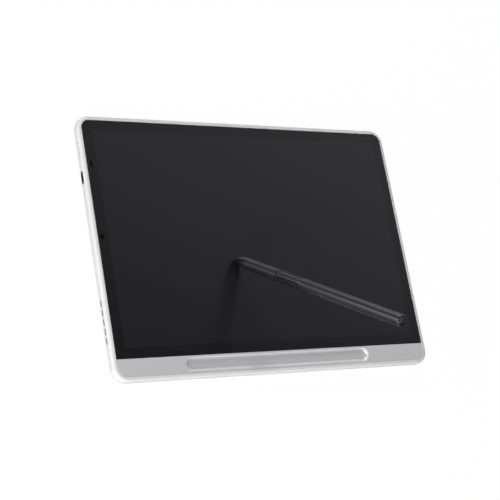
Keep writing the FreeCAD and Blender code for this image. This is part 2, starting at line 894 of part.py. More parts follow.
def sensor_cable():
    """Short flex from the sensor board, through the frame, to the main board."""
    x, y = sensor_plug_place()
    half = cable_w / 2
    strip = box(x - half, y - cable_t / 2, z_board_top + plug_h, x + half, y + cable_t / 2, z_sensor)
    end = plug(x, y, half + plug_margin, plug_w / 4)
    return joined([strip, end])


def battery_cable():
    """Flat lead that joins both cells across their sealed ends and climbs to the main board."""
    first, second = battery_places()
    y1 = first[3] - battery_lead_inset
    y0 = y1 - battery_lead_w
    z0 = z_floor + rib_h + cable_t
    z1 = z0 + cable_t
    x0 = first[2] - battery_tab_inset - battery_tab_w
    x1 = second[0] + battery_tab_inset + battery_tab_w
    run = box(x0, y0, z0, x1, y1, z1)
    climb = box(x0, y0, z0, x0 + battery_tab_w, board_low + plug_w, z1)
    z_tab = z_floor + battery_seal_t
    tabs = [box(x, y0, z_tab, x + battery_tab_w, y1, z1) for x in (x0, x1 - battery_tab_w)]
    x = x0 + battery_tab_w / 2
    y = board_low + plug_w / 2
    end = box(x - battery_tab_w / 2 - plug_margin, y, z_board_top, x + battery_tab_w / 2 + plug_margin,
              y + plug_w / 2, z0 + cable_t)
    return joined([run, climb] + tabs + [end])


def usb_cable():
    """Flex that lies on the port board and the main board, with a plug at each end."""
    x0 = usb_board_place()[2] - plug_w
    x1 = board_left + plug_w
    y = vy(port_v)
    half = cable_w / 2
    strip = box(x0, y - half + plug_margin, z_board_top, x1, y + half - plug_margin, z_board_top + cable_t)
    plugs = [box(x, y - half, z_board_top, x + plug_w, y + half, z_board_top + plug_h)
             for x in (x0, x1 - plug_w)]
    return joined([strip] + plugs)


def screw(x, y, z_end, z_under):
    """Flat-headed screw: shank from its end up, head on z_under."""
    head = cylinder(x, y, z_under, z_under + screw_head_h, screw_head_r)
    return joined([head, cylinder(x, y, z_end, z_under, screw_r)])


def screw_holes(places, z0, z1):
    """Clearance holes for the shanks."""
    return [cylinder(x, y, z0 - over, z1 + over, screw_r + screw_clear) for x, y in places]


def frame_screws():
    z_end = z_floor + screw_bite_end
    return Part.makeCompound([screw(x, y, z_end, z_ledge - screw_head_h) for x, y in frame_screw_places()])


def board_screws():
    return Part.makeCompound([screw(x, y, z_floor, z_board_top) for x, y in board_screw_places()])


def rubber_feet():
    """Round-ended pads on the flat back."""
    pad = pill(foot_l, foot_w, 0, foot_proud)
    return Part.makeCompound([placed(pad, (x, y, 0), (1, 0, 0), (0, 0, 1)) for x, y in foot_places()])


# The pen, on its own axes: Z from the nib's end to the rear, X to the side button

def in_hand(shape):
    origin = (ux(pen_u), vy(pen_v), z_top + nib_lift)
    return placed(shape, origin, square_to_lean(), lean)


def square_to_lean():
    """Direction of the side button, made square to the pen's axis."""
    axis = V(*lean)
    axis.normalize()
    facing = V(*button_facing)
    facing = facing - axis * facing.dot(axis)
    return (facing.x, facing.y, facing.z)


def revolved(points):
    """Solid of revolution from (z, r) points and arcs: a third value marks an arc's middle point."""
    edges = []
    closed = points + points[:1]
    i = 0
    while i < len(points):
        a, b = closed[i], closed[i + 1]
        if len(b) == 3:
            c = closed[i + 2]
            edges.append(Part.Arc(V(a[1], 0, a[0]), V(b[1], 0, b[0]), V(c[1], 0, c[0])).toShape())
            i += 2
        else:
            edges.append(Part.makeLine(V(a[1], 0, a[0]), V(b[1], 0, b[0])))
            i += 1
    face = Part.Face(Part.Wire(edges))
    return face.revolve(V(0, 0, 0), V(0, 0, 1), 360)


def nose_radius(z):
    """Radius of the nose: one long arc that runs out into the barrel."""
    drop = pen_r - tip_mouth_r
    reach = taper_end - tip_out
    bow = (reach ** 2 + drop ** 2) / (2 * drop)
    back = max(taper_end - z, 0.0)
    return pen_r - (bow - math.sqrt(bow ** 2 - back ** 2))


def barrel_inner_r():
    return pen_r - pen_wall


def pen_nose():
    """Blunt nose, rounded at its mouth, with the nib's hole and a spigot for the barrel."""
    mid = (tip_out + taper_end) / 2
    hole_r = nib_r + nib_clear
    bore_start = ferrite_start - stop_gap
    bore_r = ferrite_r + nib_clear
    spigot_r = barrel_inner_r() - fit_gap
    spigot_in = spigot_r - spigot_wall
    points = [
        (tip_out, hole_r),
        (tip_out, nose_radius(tip_out)),
        (mid, nose_radius(mid), "arc"),
        (taper_end, pen_r),
        (nose_end, pen_r),
        (nose_end, spigot_r),
        (nose_end + spigot_l, spigot_r),
        (nose_end + spigot_l, spigot_in),
        (coil_start - stop_gap, spigot_in),
        (coil_start - stop_gap, bore_r),
        (bore_start, bore_r),
        (bore_start, hole_r),
    ]
    nose = revolved(points)
    mouth = max(level_edges(nose, tip_out), key=lambda edge: edge.BoundBox.XMax)
    return in_hand(nose.makeFillet(mouth_round, [mouth]))


def nib():
    """Plain pin with a round writing end."""
    corner = nib_r * (1 - math.sqrt(0.5))
    points = [(0, 0), (corner, nib_r * math.sqrt(0.5), "arc"), (nib_r, nib_r), (nib_l, nib_r), (nib_l, 0)]
    return in_hand(revolved(points))


def barrel_window(clear):
    """Round-ended window for the rocker, cut from the pen's +X side."""
    window = pill(rocker_l + 2 * clear, rocker_w + 2 * clear, 0, pen_r + 2.0)
    return placed(window, (0, 0, rocker_mid), (0, 0, 1), (1, 0, 0))


def pen_barrel():
    tube = Part.makeCylinder(pen_r, cap_start - nose_end, V(0, 0, nose_end))
    tube = tube.cut(Part.makeCylinder(barrel_inner_r(), pen_l, V(0, 0, 0)))
    return in_hand(tube.cut(barrel_window(rocker_gap)))


def side_button():
    """Rocker pad that follows the barrel's curve, with grip ribs, on its axle."""
    pad = barrel_window(0.0)
    crown_r = pen_r + rocker_proud
    pad = pad.common(Part.makeCylinder(crown_r, pen_l))
    pad = pad.cut(box(-pen_r, -pen_r, 0, rocker_under, pen_r, pen_l))
    grooves = []
    count = int((rocker_l - rocker_w) / rib_pitch)
    for i in range(count + 1):
        z = rocker_mid + (i - count / 2) * rib_pitch - rib_groove / 2
        ring = Part.makeCylinder(crown_r + over, rib_groove, V(0, 0, z))
        grooves.append(ring.cut(Part.makeCylinder(crown_r - rib_cut, pen_l)))
    pad = pad.cut(grooves)
    ear_y = lug_inner() - ear_gap
    pad_in = rocker_under + seat_gap
    ear = box(axle_x - axle_r, -ear_y, rocker_mid - ear_w / 2, pad_in, ear_y, rocker_mid + ear_w / 2)
    axle_y = lug_outer() - fit_gap
    axle = Part.makeCylinder(axle_r, 2 * axle_y, V(axle_x, -axle_y, rocker_mid), V(0, 1, 0))
    posts = []
    half = post_w / 2
    for z in side_dome_places():
        posts.append(box(dome_x() + post_gap, -half, z - half, pad_in, half, z + half))
    return in_hand(joined([pad, ear, axle] + posts))


def lug_inner():
    return lug_outer() - lug_t


def lug_outer():
    return carrier_r - lug_inset


def side_dome_places():
    return [rocker_mid - side_dome_spread, rocker_mid + side_dome_spread]


def dome_x():
    """Height of the switch domes over the pen's axis."""
    return pen_board_x + pen_board_t + dome_h


def pen_carrier():
    """Half-round chassis with seat ribs and the two lugs of the rocker's axle."""
    length = carrier_end - carrier_start
    outer = Part.makeCylinder(carrier_r, length, V(0, 0, carrier_start))
    inner = Part.makeCylinder(carrier_r - carrier_wall, length, V(0, 0, carrier_start))
    keep = box(-pen_r, -pen_r, carrier_start, carrier_edge, pen_r, carrier_end)
    trough = outer.cut(inner).common(keep)
    ribs = []
    first = nose_end + spigot_l + seat_rib_inset
    last = carrier_end - seat_rib_inset - seat_rib_t
    for i in range(seat_rib_count):
        z = first + (last - first) * i / (seat_rib_count - 1)
        rib = Part.makeCylinder(barrel_inner_r() - seat_rib_gap, seat_rib_t, V(0, 0, z))
        ribs.append(rib.cut(inner).common(keep))
    lugs = []
    for side in (-1, 1):
        y0, y1 = sorted((side * lug_inner(), side * lug_outer()))
        lug = box(carrier_edge - carrier_wall, y0, rocker_mid - lug_w / 2,
                  carrier_r, y1, rocker_mid + lug_w / 2)
        lugs.append(lug.common(outer))
    body = joined([trough] + ribs + lugs)
    hole = Part.makeCylinder(axle_r + axle_clear, 2 * pen_r, V(axle_x, -pen_r, rocker_mid), V(0, 1, 0))
    return in_hand(body.cut(hole))


def ferrite_core():
    tube = Part.makeCylinder(ferrite_r, ferrite_end - ferrite_start, V(0, 0, ferrite_start))
    return in_hand(tube.cut(Part.makeCylinder(nib_r + nib_clear, pen_l)))


def coil():
    """Winding on the ferrite, as one smooth sleeve."""
    tube = Part.makeCylinder(coil_r, coil_end - coil_start, V(0, 0, coil_start))
    return in_hand(tube.cut(Part.makeCylinder(ferrite_r, pen_l)))


def pressure_start():
    return nib_l + nib_travel + stop_gap


def pressure_sensor():
    can = Part.makeCylinder(pressure_r, pressure_l, V(0, 0, pressure_start()))
    return in_hand(can.makeChamfer(pressure_edge, level_edges(can, pressure_start())))


def pen_board():
    z0 = pressure_start() + pressure_l + stop_gap
    x1 = pen_board_x + pen_board_t
    board = box(pen_board_x, -pen_board_w / 2, z0, x1, pen_board_w / 2, carrier_end - pen_board_short)
    z_chip = rocker_mid + pen_chip_past
    chip = box(x1, -pen_chip_w / 2, z_chip, x1 + pen_board_t, pen_chip_w / 2, z_chip + pen_chip_l)
    return in_hand(joined([board, chip]))


def side_switch():
    """The two metal domes under the rocker's posts."""
    x = pen_board_x + pen_board_t
    domes = [Part.makeCone(dome_r, dome_top_r, dome_h, V(x, 0, z), V(1, 0, 0)) for z in side_dome_places()]
    return in_hand(Part.makeCompound(domes))


def pen_end_cap():
    """Rear cap with a rounded rim round a dished end and a spigot in the barrel."""
    z0 = cap_start
    inner = barrel_inner_r() - fit_gap
    corner = cap_edge_r * (1 - math.sqrt(0.5))
    points = [
        (z0 - cap_spigot_l, 0),
        (z0 - cap_spigot_l, inner),
        (z0, inner),
        (z0, pen_r),
        (pen_l - cap_edge_r, pen_r),
        (pen_l - corner, pen_r - corner, "arc"),
        (pen_l, pen_r - cap_edge_r),
        (pen_l, cap_dish_r),
        (pen_l - cap_dish, cap_dish_r),
        (pen_l - cap_dish, 0),
    ]
    return in_hand(revolved(points))


def end_disc():
    z1 = pen_l - cap_dish + disc_t
    disc = Part.makeCylinder(disc_r, disc_t, V(0, 0, z1 - disc_t))
    return in_hand(disc.makeChamfer(disc_edge, level_edges(disc, z1)))


nodes = {
    "rear_cover": rear_cover,
    "mid_frame": mid_frame,
    "chin_strip": chin_strip,
    "cover_glass": cover_glass,
    "glass_adhesive": glass_adhesive,
    "display_panel": display_panel,
    "backlight_unit": backlight_unit,
    "pen_sensor_board": pen_sensor_board,
    "battery_left": battery_left,
    "battery_right": battery_right,
    "main_board": main_board,
    "processor_shield": processor_shield,
    "radio_shield": radio_shield,
    "usb_board": usb_board,
    "usb_c_socket": usb_c_socket,
    "usb_c_tongue": usb_c_tongue,
    "speaker_left": speaker_left,
    "speaker_right": speaker_right,
    "speaker_mesh_left": speaker_mesh_left,
    "speaker_mesh_right": speaker_mesh_right,
    "microphones": microphones,
    "front_camera": front_camera,
    "light_sensor": light_sensor,
    "power_button": power_button,
    "power_switch": power_switch,
    "volume_rocker": volume_rocker,
    "volume_switch": volume_switch,
    "display_cable": display_cable,
    "sensor_cable": sensor_cable,
    "battery_cable": battery_cable,
    "usb_cable": usb_cable,
    "frame_screws": frame_screws,
    "board_screws": board_screws,
    "rubber_feet": rubber_feet,
    "pen_barrel": pen_barrel,
    "pen_nose": pen_nose,
    "nib": nib,
    "side_button": side_button,
    "pen_end_cap": pen_end_cap,
    "end_disc": end_disc,
    "pen_carrier": pen_carrier,
    "ferrite_core": ferrite_core,
    "coil": coil,
    "pressure_sensor": pressure_sensor,
    "pen_board": pen_board,
    "side_switch": side_switch,
}

os.makedirs("parts", exist_ok=True)
for name, make in nodes.items():
    shape = make()
    shape.exportStep("parts/" + name + ".step")
    bounds = shape.BoundBox
    print(name, len(shape.Solids), "valid" if shape.isValid() else "NOT VALID", round(shape.Volume, 2),
          [round(v, 2) for v in (bounds.XMin, bounds.YMin, bounds.ZMin, bounds.XMax, bounds.YMax, bounds.ZMax)])
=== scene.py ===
# %% [markdown]
# # A graphics tablet with a screen, and its pen
# The tablet lies on its back on a pale table, and the pen stands over the glass as if a hand
# held it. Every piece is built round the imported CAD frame, which is in metres and is never
# moved. What a viewer sees is built again here with finer edges; the frame's own meshes stay
# for what is inside. The sizes below are in millimetres, as in a workshop drawing.

# %% Load the frame
import json
import math

import bmesh
import bpy
from mathutils import Matrix, Vector


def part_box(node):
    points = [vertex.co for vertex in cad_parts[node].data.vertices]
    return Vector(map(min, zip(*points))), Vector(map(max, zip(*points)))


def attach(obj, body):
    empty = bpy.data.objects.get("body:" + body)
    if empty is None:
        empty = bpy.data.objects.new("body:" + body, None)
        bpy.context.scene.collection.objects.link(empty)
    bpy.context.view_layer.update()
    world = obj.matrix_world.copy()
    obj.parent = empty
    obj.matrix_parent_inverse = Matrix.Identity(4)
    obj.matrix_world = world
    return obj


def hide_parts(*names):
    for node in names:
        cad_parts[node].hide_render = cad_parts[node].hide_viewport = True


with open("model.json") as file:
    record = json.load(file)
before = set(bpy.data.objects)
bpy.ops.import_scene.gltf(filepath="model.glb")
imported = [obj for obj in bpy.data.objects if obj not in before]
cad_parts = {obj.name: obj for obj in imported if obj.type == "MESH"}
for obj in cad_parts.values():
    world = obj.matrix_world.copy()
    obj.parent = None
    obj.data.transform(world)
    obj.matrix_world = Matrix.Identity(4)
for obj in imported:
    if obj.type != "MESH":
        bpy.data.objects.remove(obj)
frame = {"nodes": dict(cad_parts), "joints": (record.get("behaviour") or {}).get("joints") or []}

for name in ("Cube", "Light", "Camera"):
    if name in bpy.data.objects:
        bpy.data.objects.remove(bpy.data.objects[name])
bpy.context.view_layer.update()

# %% [markdown]
# ## Sizes that come from the frame
# A size typed twice can disagree with itself, so the main ones are read from the boxes of the CAD
# nodes. Radii, walls and gaps, which no box can tell, are named after them, and the small sizes
# of a piece stand in its own cell.

# %% Read the main sizes
MM = 0.001


def box_mm(node):
    """Lowest and highest corner of a CAD node, in millimetres."""
    low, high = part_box(node)
    return low / MM, high / MM


shell_low, shell_high = box_mm("rear_cover")
glass_low, glass_high = box_mm("cover_glass")
chin_low, chin_high = box_mm("chin_strip")
power_low, power_high = box_mm("power_button")
volume_low, volume_high = box_mm("volume_rocker")
socket_low, socket_high = box_mm("usb_c_socket")

z_top = shell_high.z
z_side = (power_low.z + power_high.z) / 2
power_y = (power_low.y + power_high.y) / 2
volume_x = (volume_low.x + volume_high.x) / 2
port_y = (socket_low.y + socket_high.y) / 2
glass_mid = (glass_low + glass_high) / 2
print("tablet", [round(v, 1) for v in shell_high - shell_low])
print("glass", [round(v, 1) for v in glass_high - glass_low])

# %% Name the small sizes
seam = 0.1
corner_r = 10.0
glass_corner_r = 6.0
chin_corner_r = 7.0
strip_end_r = 0.4
back_edge_r = 3.2
front_edge_r = 2.2
floor_t = 1.0
wall_t = 3.1
over = 1.0  # how far a cutter runs past what it cuts
least_r = 0.05  # the least that is left of a corner's radius when its outline is drawn in
print("rim round", front_edge_r, "back round", back_edge_r, "wall", wall_t)

# %% [markdown]
# ## Meshes from loops
# Cases like this one are drawn as outlines at many heights. So one helper makes the points of
# a rounded outline, and another skins a row of such outlines. It gives even quads that follow
# the form, where a bevelled cube would give long thin faces at the corners.

# %% Outlines
def outline(x0, y0, x1, y1, radii, z, steps=10):
    """Rounded rectangle at height z; radii run from the lower left corner, counter-clockwise."""
    corners = ((x0, y0, 1, 1, 180), (x1, y0, -1, 1, 270), (x1, y1, -1, -1, 0), (x0, y1, 1, -1, 90))
    points = []
    for (x, y, in_x, in_y, start), r in zip(corners, radii):
        for i in range(steps + 1):
            a = math.radians(start + 90 * i / steps)
            points.append((x + in_x * r + r * math.cos(a), y + in_y * r + r * math.sin(a), z))
    return points


def pill(length, width, z, steps=8):
    """Round-ended bar along X, at height z."""
    r = width / 2
    return outline(-length / 2, -r, length / 2, r, (r,) * 4, z, steps)


def ring(r, z, steps=64):
    """Circle round the origin, at height z."""
    return [(r * math.cos(t), r * math.sin(t), z) for t in (math.tau * i / steps for i in range(steps))]


def quarter(steps):
    """(sine, cosine) pairs of a quarter turn, ends included."""
    return [(math.sin(math.pi / 2 * i / steps), math.cos(math.pi / 2 * i / steps)) for i in range(steps + 1)]


# %% Skins and solids
same_point = 1e-7  # metres: points of a skin that are closer than this are merged
same_cad_point, level_degrees = 1e-6, 0.5


def new_piece(name, mesh):
    """Object from a bmesh, its double points merged and its faces turned outwards."""
    bmesh.ops.remove_doubles(mesh, verts=mesh.verts, dist=same_point)
    bmesh.ops.recalc_face_normals(mesh, faces=mesh.faces)
    data = bpy.data.meshes.new(name)
    mesh.to_mesh(data)
    mesh.free()
    piece = bpy.data.objects.new(name, data)
    bpy.context.scene.collection.objects.link(piece)
    return piece


def loft(name, loops, closed=False):
    """Skin through loops of as many points each; open ends get one flat face."""
    mesh = bmesh.new()
    rows = [[mesh.verts.new(Vector(p) * MM) for p in loop] for loop in loops]
    pairs = list(zip(rows, rows[1:]))
    if closed:
        pairs.append((rows[-1], rows[0]))
    count = len(rows[0])
    for low, high in pairs:
        for i in range(count):
            j = (i + 1) % count
            mesh.faces.new((low[i], low[j], high[j], high[i]))
    if not closed:
        mesh.faces.new(rows[0][::-1])
        mesh.faces.new(rows[-1])
    return new_piece(name, mesh)


def placed(piece, origin, x_dir, z_dir):
    """Turns a piece's mesh so that its X and Z run along these directions from the origin."""
    x, z = Vector(x_dir).normalized(), Vector(z_dir).normalized()
    turn = Matrix((x, z.cross(x), z)).transposed().to_4x4()
    piece.data.transform(Matrix.Translation(Vector(origin) * MM) @ turn)
    return piece


def on_left(piece, y):
    """Sets a piece in the left wall, with its X along the wall and its Z inwards."""
    return placed(piece, (shell_low.x, y, z_side), (0, 1, 0), (1, 0, 0))


def on_right(piece, y):
    """The same in the right wall."""
    return placed(piece, (shell_high.x, y, z_side), (0, 1, 0), (-1, 0, 0))


def on_top(piece, x):
    """The same in the upper wall."""
    return placed(piece, (x, shell_high.y, z_side), (1, 0, 0), (0, -1, 0))


# %% Cutting and shading
def applied(piece):
    """The piece with its modifiers made into plain mesh."""
    graph = bpy.context.evaluated_depsgraph_get()
    mesh = bpy.data.meshes.new_from_object(piece.evaluated_get(graph))
    piece.modifiers.clear()
    piece.data = mesh
    return piece


def cut(piece, cutters):
    """Takes the cutters out of the piece, and deletes them."""
    for cutter in cutters:
        modifier = piece.modifiers.new("cut", "BOOLEAN")
        modifier.object = cutter
        modifier.operation = "DIFFERENCE"
        modifier.solver = "EXACT"
    applied(piece)
    for cutter in cutters:
        bpy.data.objects.remove(cutter)
    return piece


def smooth(piece, degrees=32):
    """Shades curved faces smooth and keeps edges sharper than this angle, with the flats kept flat."""
    mesh = bmesh.new()
    mesh.from_mesh(piece.data)
    bmesh.ops.remove_doubles(mesh, verts=mesh.verts, dist=same_point)
    limit = math.radians(degrees)
    for face in mesh.faces:
        face.smooth = True
    for edge in mesh.edges:
        edge.smooth = len(edge.link_faces) == 2 and edge.calc_face_angle() < limit
    mesh.to_mesh(piece.data)
    mesh.free()
    weighted = piece.modifiers.new("flats", "WEIGHTED_NORMAL")
    weighted.keep_sharp = True
    return applied(piece)


def merged_copy(node, name):
    """A copy of a CAD node's loose triangles, joined up so that it can be shaded smooth."""
    mesh = bmesh.new()
    mesh.from_mesh(frame["nodes"][node].data)
    bmesh.ops.remove_doubles(mesh, verts=mesh.verts, dist=same_cad_point)
    limit = math.radians(level_degrees)
    bmesh.ops.dissolve_limit(mesh, angle_limit=limit, verts=mesh.verts, edges=mesh.edges)
    return new_piece(name, mesh)


# %% [markdown]
# ## Materials
# Each finish is named for the real one and made from nodes, with its grain drawn at a real
# size in millimetres on the piece's own coordinates. One helper adds a node with its settings
# and links. Moulded and etched surfaces get their look from a fine bump and a roughness that
# wanders a little, because a perfectly even surface is what makes a render look like plastic
# toy parts.

# %% Helpers for materials
def linear(hex_colour):
    """An sRGB hex colour as linear red, green, blue and alpha."""
    parts = [int(hex_colour[i:i + 2], 16) / 255 for i in (0, 2, 4)]
    return [c / 12.92 if c <= 0.04045 else ((c + 0.055) / 1.055) ** 2.4 for c in parts] + [1.0]


def per_mm(size):
    """Scale of a texture whose features are this many millimetres wide."""
    return 1 / (size * MM)


def add(tree, kind, settings=None, inputs=None):
    """Adds a node. An input is either a value or the socket that feeds it."""
    node = tree.nodes.new(kind)
    for name, value in (settings or {}).items():
        setattr(node, name, value)
    for name, value in (inputs or {}).items():
        if isinstance(value, bpy.types.NodeSocket):
            tree.links.new(value, node.inputs[name])
        else:
            node.inputs[name].default_value = value
    return node


def surface(name, shader_inputs):
    """New material: its tree, the piece's coordinates, and its shader wired to the output."""
    material = bpy.data.materials.new(name)
    material.use_nodes = True
    tree = material.node_tree
    tree.nodes.clear()
    place = add(tree, "ShaderNodeTexCoord").outputs["Object"]
    shader = add(tree, "ShaderNodeBsdfPrincipled", inputs=shader_inputs)
    add(tree, "ShaderNodeOutputMaterial", inputs={"Surface": shader.outputs[0]})
    return material, tree, place, shader


def mottled(tree, shader, noise, dark, light):
    """Lets the base colour wander between two near tones."""
    mix = add(tree, "ShaderNodeMix", {"data_type": "RGBA"}, {0: noise, 6: linear(dark), 7: linear(light)})
    tree.links.new(mix.outputs[2], shader.inputs["Base Color"])


def roughened(tree, shader, noise, low, high):
    """Lets the roughness wander between two values."""
    span = add(tree, "ShaderNodeMapRange", None, {"Value": noise, "To Min": low, "To Max": high})
    tree.links.new(span.outputs[0], shader.inputs["Roughness"])


def bumped(tree, shader, height, depth_mm):
    """Relief of this depth from a height that runs from 0 to 1."""
    bump = add(tree, "ShaderNodeBump", None, {"Height": height, "Distance": depth_mm * MM})
    tree.links.new(bump.outputs[0], shader.inputs["Normal"])


# %% [markdown]
# ### Finishes that show
# The back shell is moulded white plastic with the fine satin of a spark-eroded mould. The strip
# below the glass is satin grey metal with a faint lengthwise grain. The cover glass is etched,
# so it mirrors the room only as a soft veil. The pen is satin black all over. Pictures of real
# surfaces could be wrapped round the pieces, but they would need unwrapping and would stretch
# somewhere; noise in three dimensions fits every piece at its true size. Where the real grain is
# too fine for a picture of the whole tablet, it is drawn coarser, and the comment says so.

# %% White shell
def moulded_white():
    """Moulded white ABS: broad soft highlights over a pebbled skin.

    The real skin is finer; it is drawn at 0.35 mm so that it shows."""
    material, tree, place, shader = surface("moulded_white_abs", {"IOR": 1.5})
    skin = add(tree, "ShaderNodeTexNoise", None, {"Vector": place, "Scale": per_mm(0.35), "Detail": 2.0})
    cloud = add(tree, "ShaderNodeTexNoise", None, {"Vector": place, "Scale": per_mm(30.0), "Detail": 3.0})
    mottled(tree, shader, cloud.outputs[0], "EDEDEB", "F5F5F4")
    roughened(tree, shader, cloud.outputs[0], 0.36, 0.46)
    bumped(tree, shader, skin.outputs[0], 0.0015)
    return material


# %% Satin strip
def satin_metal():
    """Bead-blasted and clear-coated aluminium, rolled along X: a grey that is more matt than mirror.

    The marks of the beads are finer in reality; they are drawn at 0.25 mm so that they show."""
    material, tree, place, shader = surface("satin_aluminium", {"Metallic": 0.35})
    stretch = add(tree, "ShaderNodeMapping", None, {"Vector": place, "Scale": (0.02, 1.0, 1.0)})
    grain = add(tree, "ShaderNodeTexNoise", None,
                {"Vector": stretch.outputs[0], "Scale": per_mm(0.3), "Detail": 3.0})
    blast = add(tree, "ShaderNodeTexNoise", None, {"Vector": place, "Scale": per_mm(0.25), "Detail": 2.0})
    both = add(tree, "ShaderNodeMath", {"operation": "ADD"}, {0: grain.outputs[0], 1: blast.outputs[0]})
    mottled(tree, shader, grain.outputs[0], "E2E2E4", "E8E8EA")
    roughened(tree, shader, grain.outputs[0], 0.40, 0.50)
    bumped(tree, shader, both.outputs[0], 0.002)
    return material


# %% Etched glass
border = 7.3
screen_blur = 1.2


def etched_glass():
    """Etched cover glass over a dark screen: black border, a shade lighter where the screen is.

    The specular tint is the faint violet that an anti-reflex coat leaves. The etch is finer in
    reality; it is drawn at 0.3 mm so that it shows."""
    material, tree, place, shader = surface(
        "etched_cover_glass", {"IOR": 1.45, "Specular Tint": (0.94, 0.91, 1.0, 1.0)})
    parts = add(tree, "ShaderNodeSeparateXYZ", None, {0: place})

    def from_middle(axis, middle):
        """Distance from a middle line, in millimetres."""
        scaled = add(tree, "ShaderNodeMath", {"operation": "MULTIPLY"}, {0: parts.outputs[axis], 1: 1 / MM})
        moved = add(tree, "ShaderNodeMath", {"operation": "SUBTRACT"}, {0: scaled.outputs[0], 1: middle})
        return add(tree, "ShaderNodeMath", {"operation": "ABSOLUTE"}, {0: moved.outputs[0]}).outputs[0]

    def beyond(distance, half):
        return add(tree, "ShaderNodeMath", {"operation": "SUBTRACT"}, {0: distance, 1: half}).outputs[0]

    def larger(a, b):
        return add(tree, "ShaderNodeMath", {"operation": "MAXIMUM"}, {0: a, 1: b}).outputs[0]

    def inside(distance, blur):
        """1 inside an outline and 0 outside it, softened over the blur."""
        return add(tree, "ShaderNodeMapRange", None,
                   {"Value": distance, "From Min": blur / 2, "From Max": -blur / 2}).outputs[0]

    half_w = (glass_high.x - glass_low.x) / 2 - border
    half_h = (glass_high.y - glass_low.y) / 2 - border
    screen = inside(larger(beyond(from_middle(0, glass_mid.x), half_w),
                           beyond(from_middle(1, glass_mid.y), half_h)), screen_blur)
    cloud = add(tree, "ShaderNodeTexNoise", None, {"Vector": place, "Scale": per_mm(60.0), "Detail": 2.0})
    screen_tone = add(tree, "ShaderNodeMix", {"data_type": "RGBA"},
                      {0: cloud.outputs[0], 6: linear("141417"), 7: linear("17171B")})
    tone = add(tree, "ShaderNodeMix", {"data_type": "RGBA"},
               {0: screen, 6: linear("040406"), 7: screen_tone.outputs[2]})
    tree.links.new(tone.outputs[2], shader.inputs["Base Color"])
    roughened(tree, shader, cloud.outputs[0], 0.22, 0.26)
    etch = add(tree, "ShaderNodeTexNoise", None, {"Vector": place, "Scale": per_mm(0.3), "Detail": 2.0})
    bumped(tree, shader, etch.outputs[0], 0.0015)
    return material


# %% Clear windows in the border
def clear_window():
    """Clear coated spot in the border's black print: it mirrors almost nothing and shows the dark behind."""
    material, tree, place, shader = surface("coated_clear_window", {"IOR": 1.45, "Specular IOR Level": 0.1})
    haze = add(tree, "ShaderNodeTexNoise", None, {"Vector": place, "Scale": per_mm(0.5), "Detail": 2.0})
    mottled(tree, shader, haze.outputs[0], "020202", "040404")
    roughened(tree, shader, haze.outputs[0], 0.06, 0.10)
    bumped(tree, shader, haze.outputs[0], 0.0005)
    return material


# %% The pen's blacks
def satin_black():
    """Satin black paint with a fine pearl in it: wide soft highlights over a faint speckle.

    The speckle is finer in reality; it is drawn at 0.3 mm so that it shows."""
    coat = {"IOR": 1.6, "Specular IOR Level": 0.75, "Specular Tint": (0.98, 0.96, 1.0, 1.0)}
    material, tree, place, shader = surface("satin_black_paint", coat)
    speckle = add(tree, "ShaderNodeTexNoise", None, {"Vector": place, "Scale": per_mm(0.3), "Detail": 2.0})
    cloud = add(tree, "ShaderNodeTexNoise", None, {"Vector": place, "Scale": per_mm(12.0), "Detail": 2.0})
    mottled(tree, shader, cloud.outputs[0], "080809", "0C0C0D")
    roughened(tree, shader, speckle.outputs[0], 0.36, 0.42)
    bumped(tree, shader, speckle.outputs[0], 0.0008)
    return material


def button_black():
    """Moulded black rubbery plastic of the side button, a shade lighter than the painted barrel."""
    material, tree, place, shader = surface(
        "button_black_elastomer", {"IOR": 1.6, "Specular IOR Level": 0.75})
    speckle = add(tree, "ShaderNodeTexNoise", None, {"Vector": place, "Scale": per_mm(0.25), "Detail": 3.0})
    mottled(tree, shader, speckle.outputs[0], "161617", "1C1C1D")
    roughened(tree, shader, speckle.outputs[0], 0.36, 0.44)
    bumped(tree, shader, speckle.outputs[0], 0.002)
    return material


def disc_black():
    """Turned and blackened disc in the pen's end: half metal to the eye, with a fine speckle."""
    material, tree, place, shader = surface("turned_black_disc", {"Metallic": 0.5})
    speckle = add(tree, "ShaderNodeTexNoise", None, {"Vector": place, "Scale": per_mm(0.2), "Detail": 2.0})
    mottled(tree, shader, speckle.outputs[0], "505053", "5C5C60")
    roughened(tree, shader, speckle.outputs[0], 0.24, 0.34)
    bumped(tree, shader, speckle.outputs[0], 0.003)
    return material


# %% [markdown]
# ### Plastics, metals and films inside
# What sits inside shows only when the case is open, but it keeps a true finish too. Two recipes
# cover most of it: one for plastic, rubber, film and other things that aren't metal, and one for
# rolled or drawn metal. The circuit boards and the wound coil have a recipe each.

# %% Recipes for the inner pieces
def moulded(name, dark, light, grain_mm, depth_mm, rough):
    """Plastic, rubber, film and the like: an even skin with grain of this size."""
    spread = 0.05
    material, tree, place, shader = surface(name, {"IOR": 1.5})
    skin = add(tree, "ShaderNodeTexNoise", None, {"Vector": place, "Scale": per_mm(grain_mm), "Detail": 3.0})
    mottled(tree, shader, skin.outputs[0], dark, light)
    roughened(tree, shader, skin.outputs[0], rough - spread, rough + spread)
    bumped(tree, shader, skin.outputs[0], depth_mm)
    return material


def rolled(name, dark, light, grain_mm, depth_mm, rough):
    """Rolled or drawn metal: the grain is forty times longer than it is wide."""
    spread = 0.06
    material, tree, place, shader = surface(name, {"Metallic": 1.0})
    stretch = add(tree, "ShaderNodeMapping", None, {"Vector": place, "Scale": (1.0, 1 / 40, 1.0)})
    grain = add(tree, "ShaderNodeTexNoise", None,
                {"Vector": stretch.outputs[0], "Scale": per_mm(grain_mm), "Detail": 3.0})
    mottled(tree, shader, grain.outputs[0], dark, light)
    roughened(tree, shader, grain.outputs[0], rough - spread, rough + spread)
    bumped(tree, shader, grain.outputs[0], depth_mm)
    return material


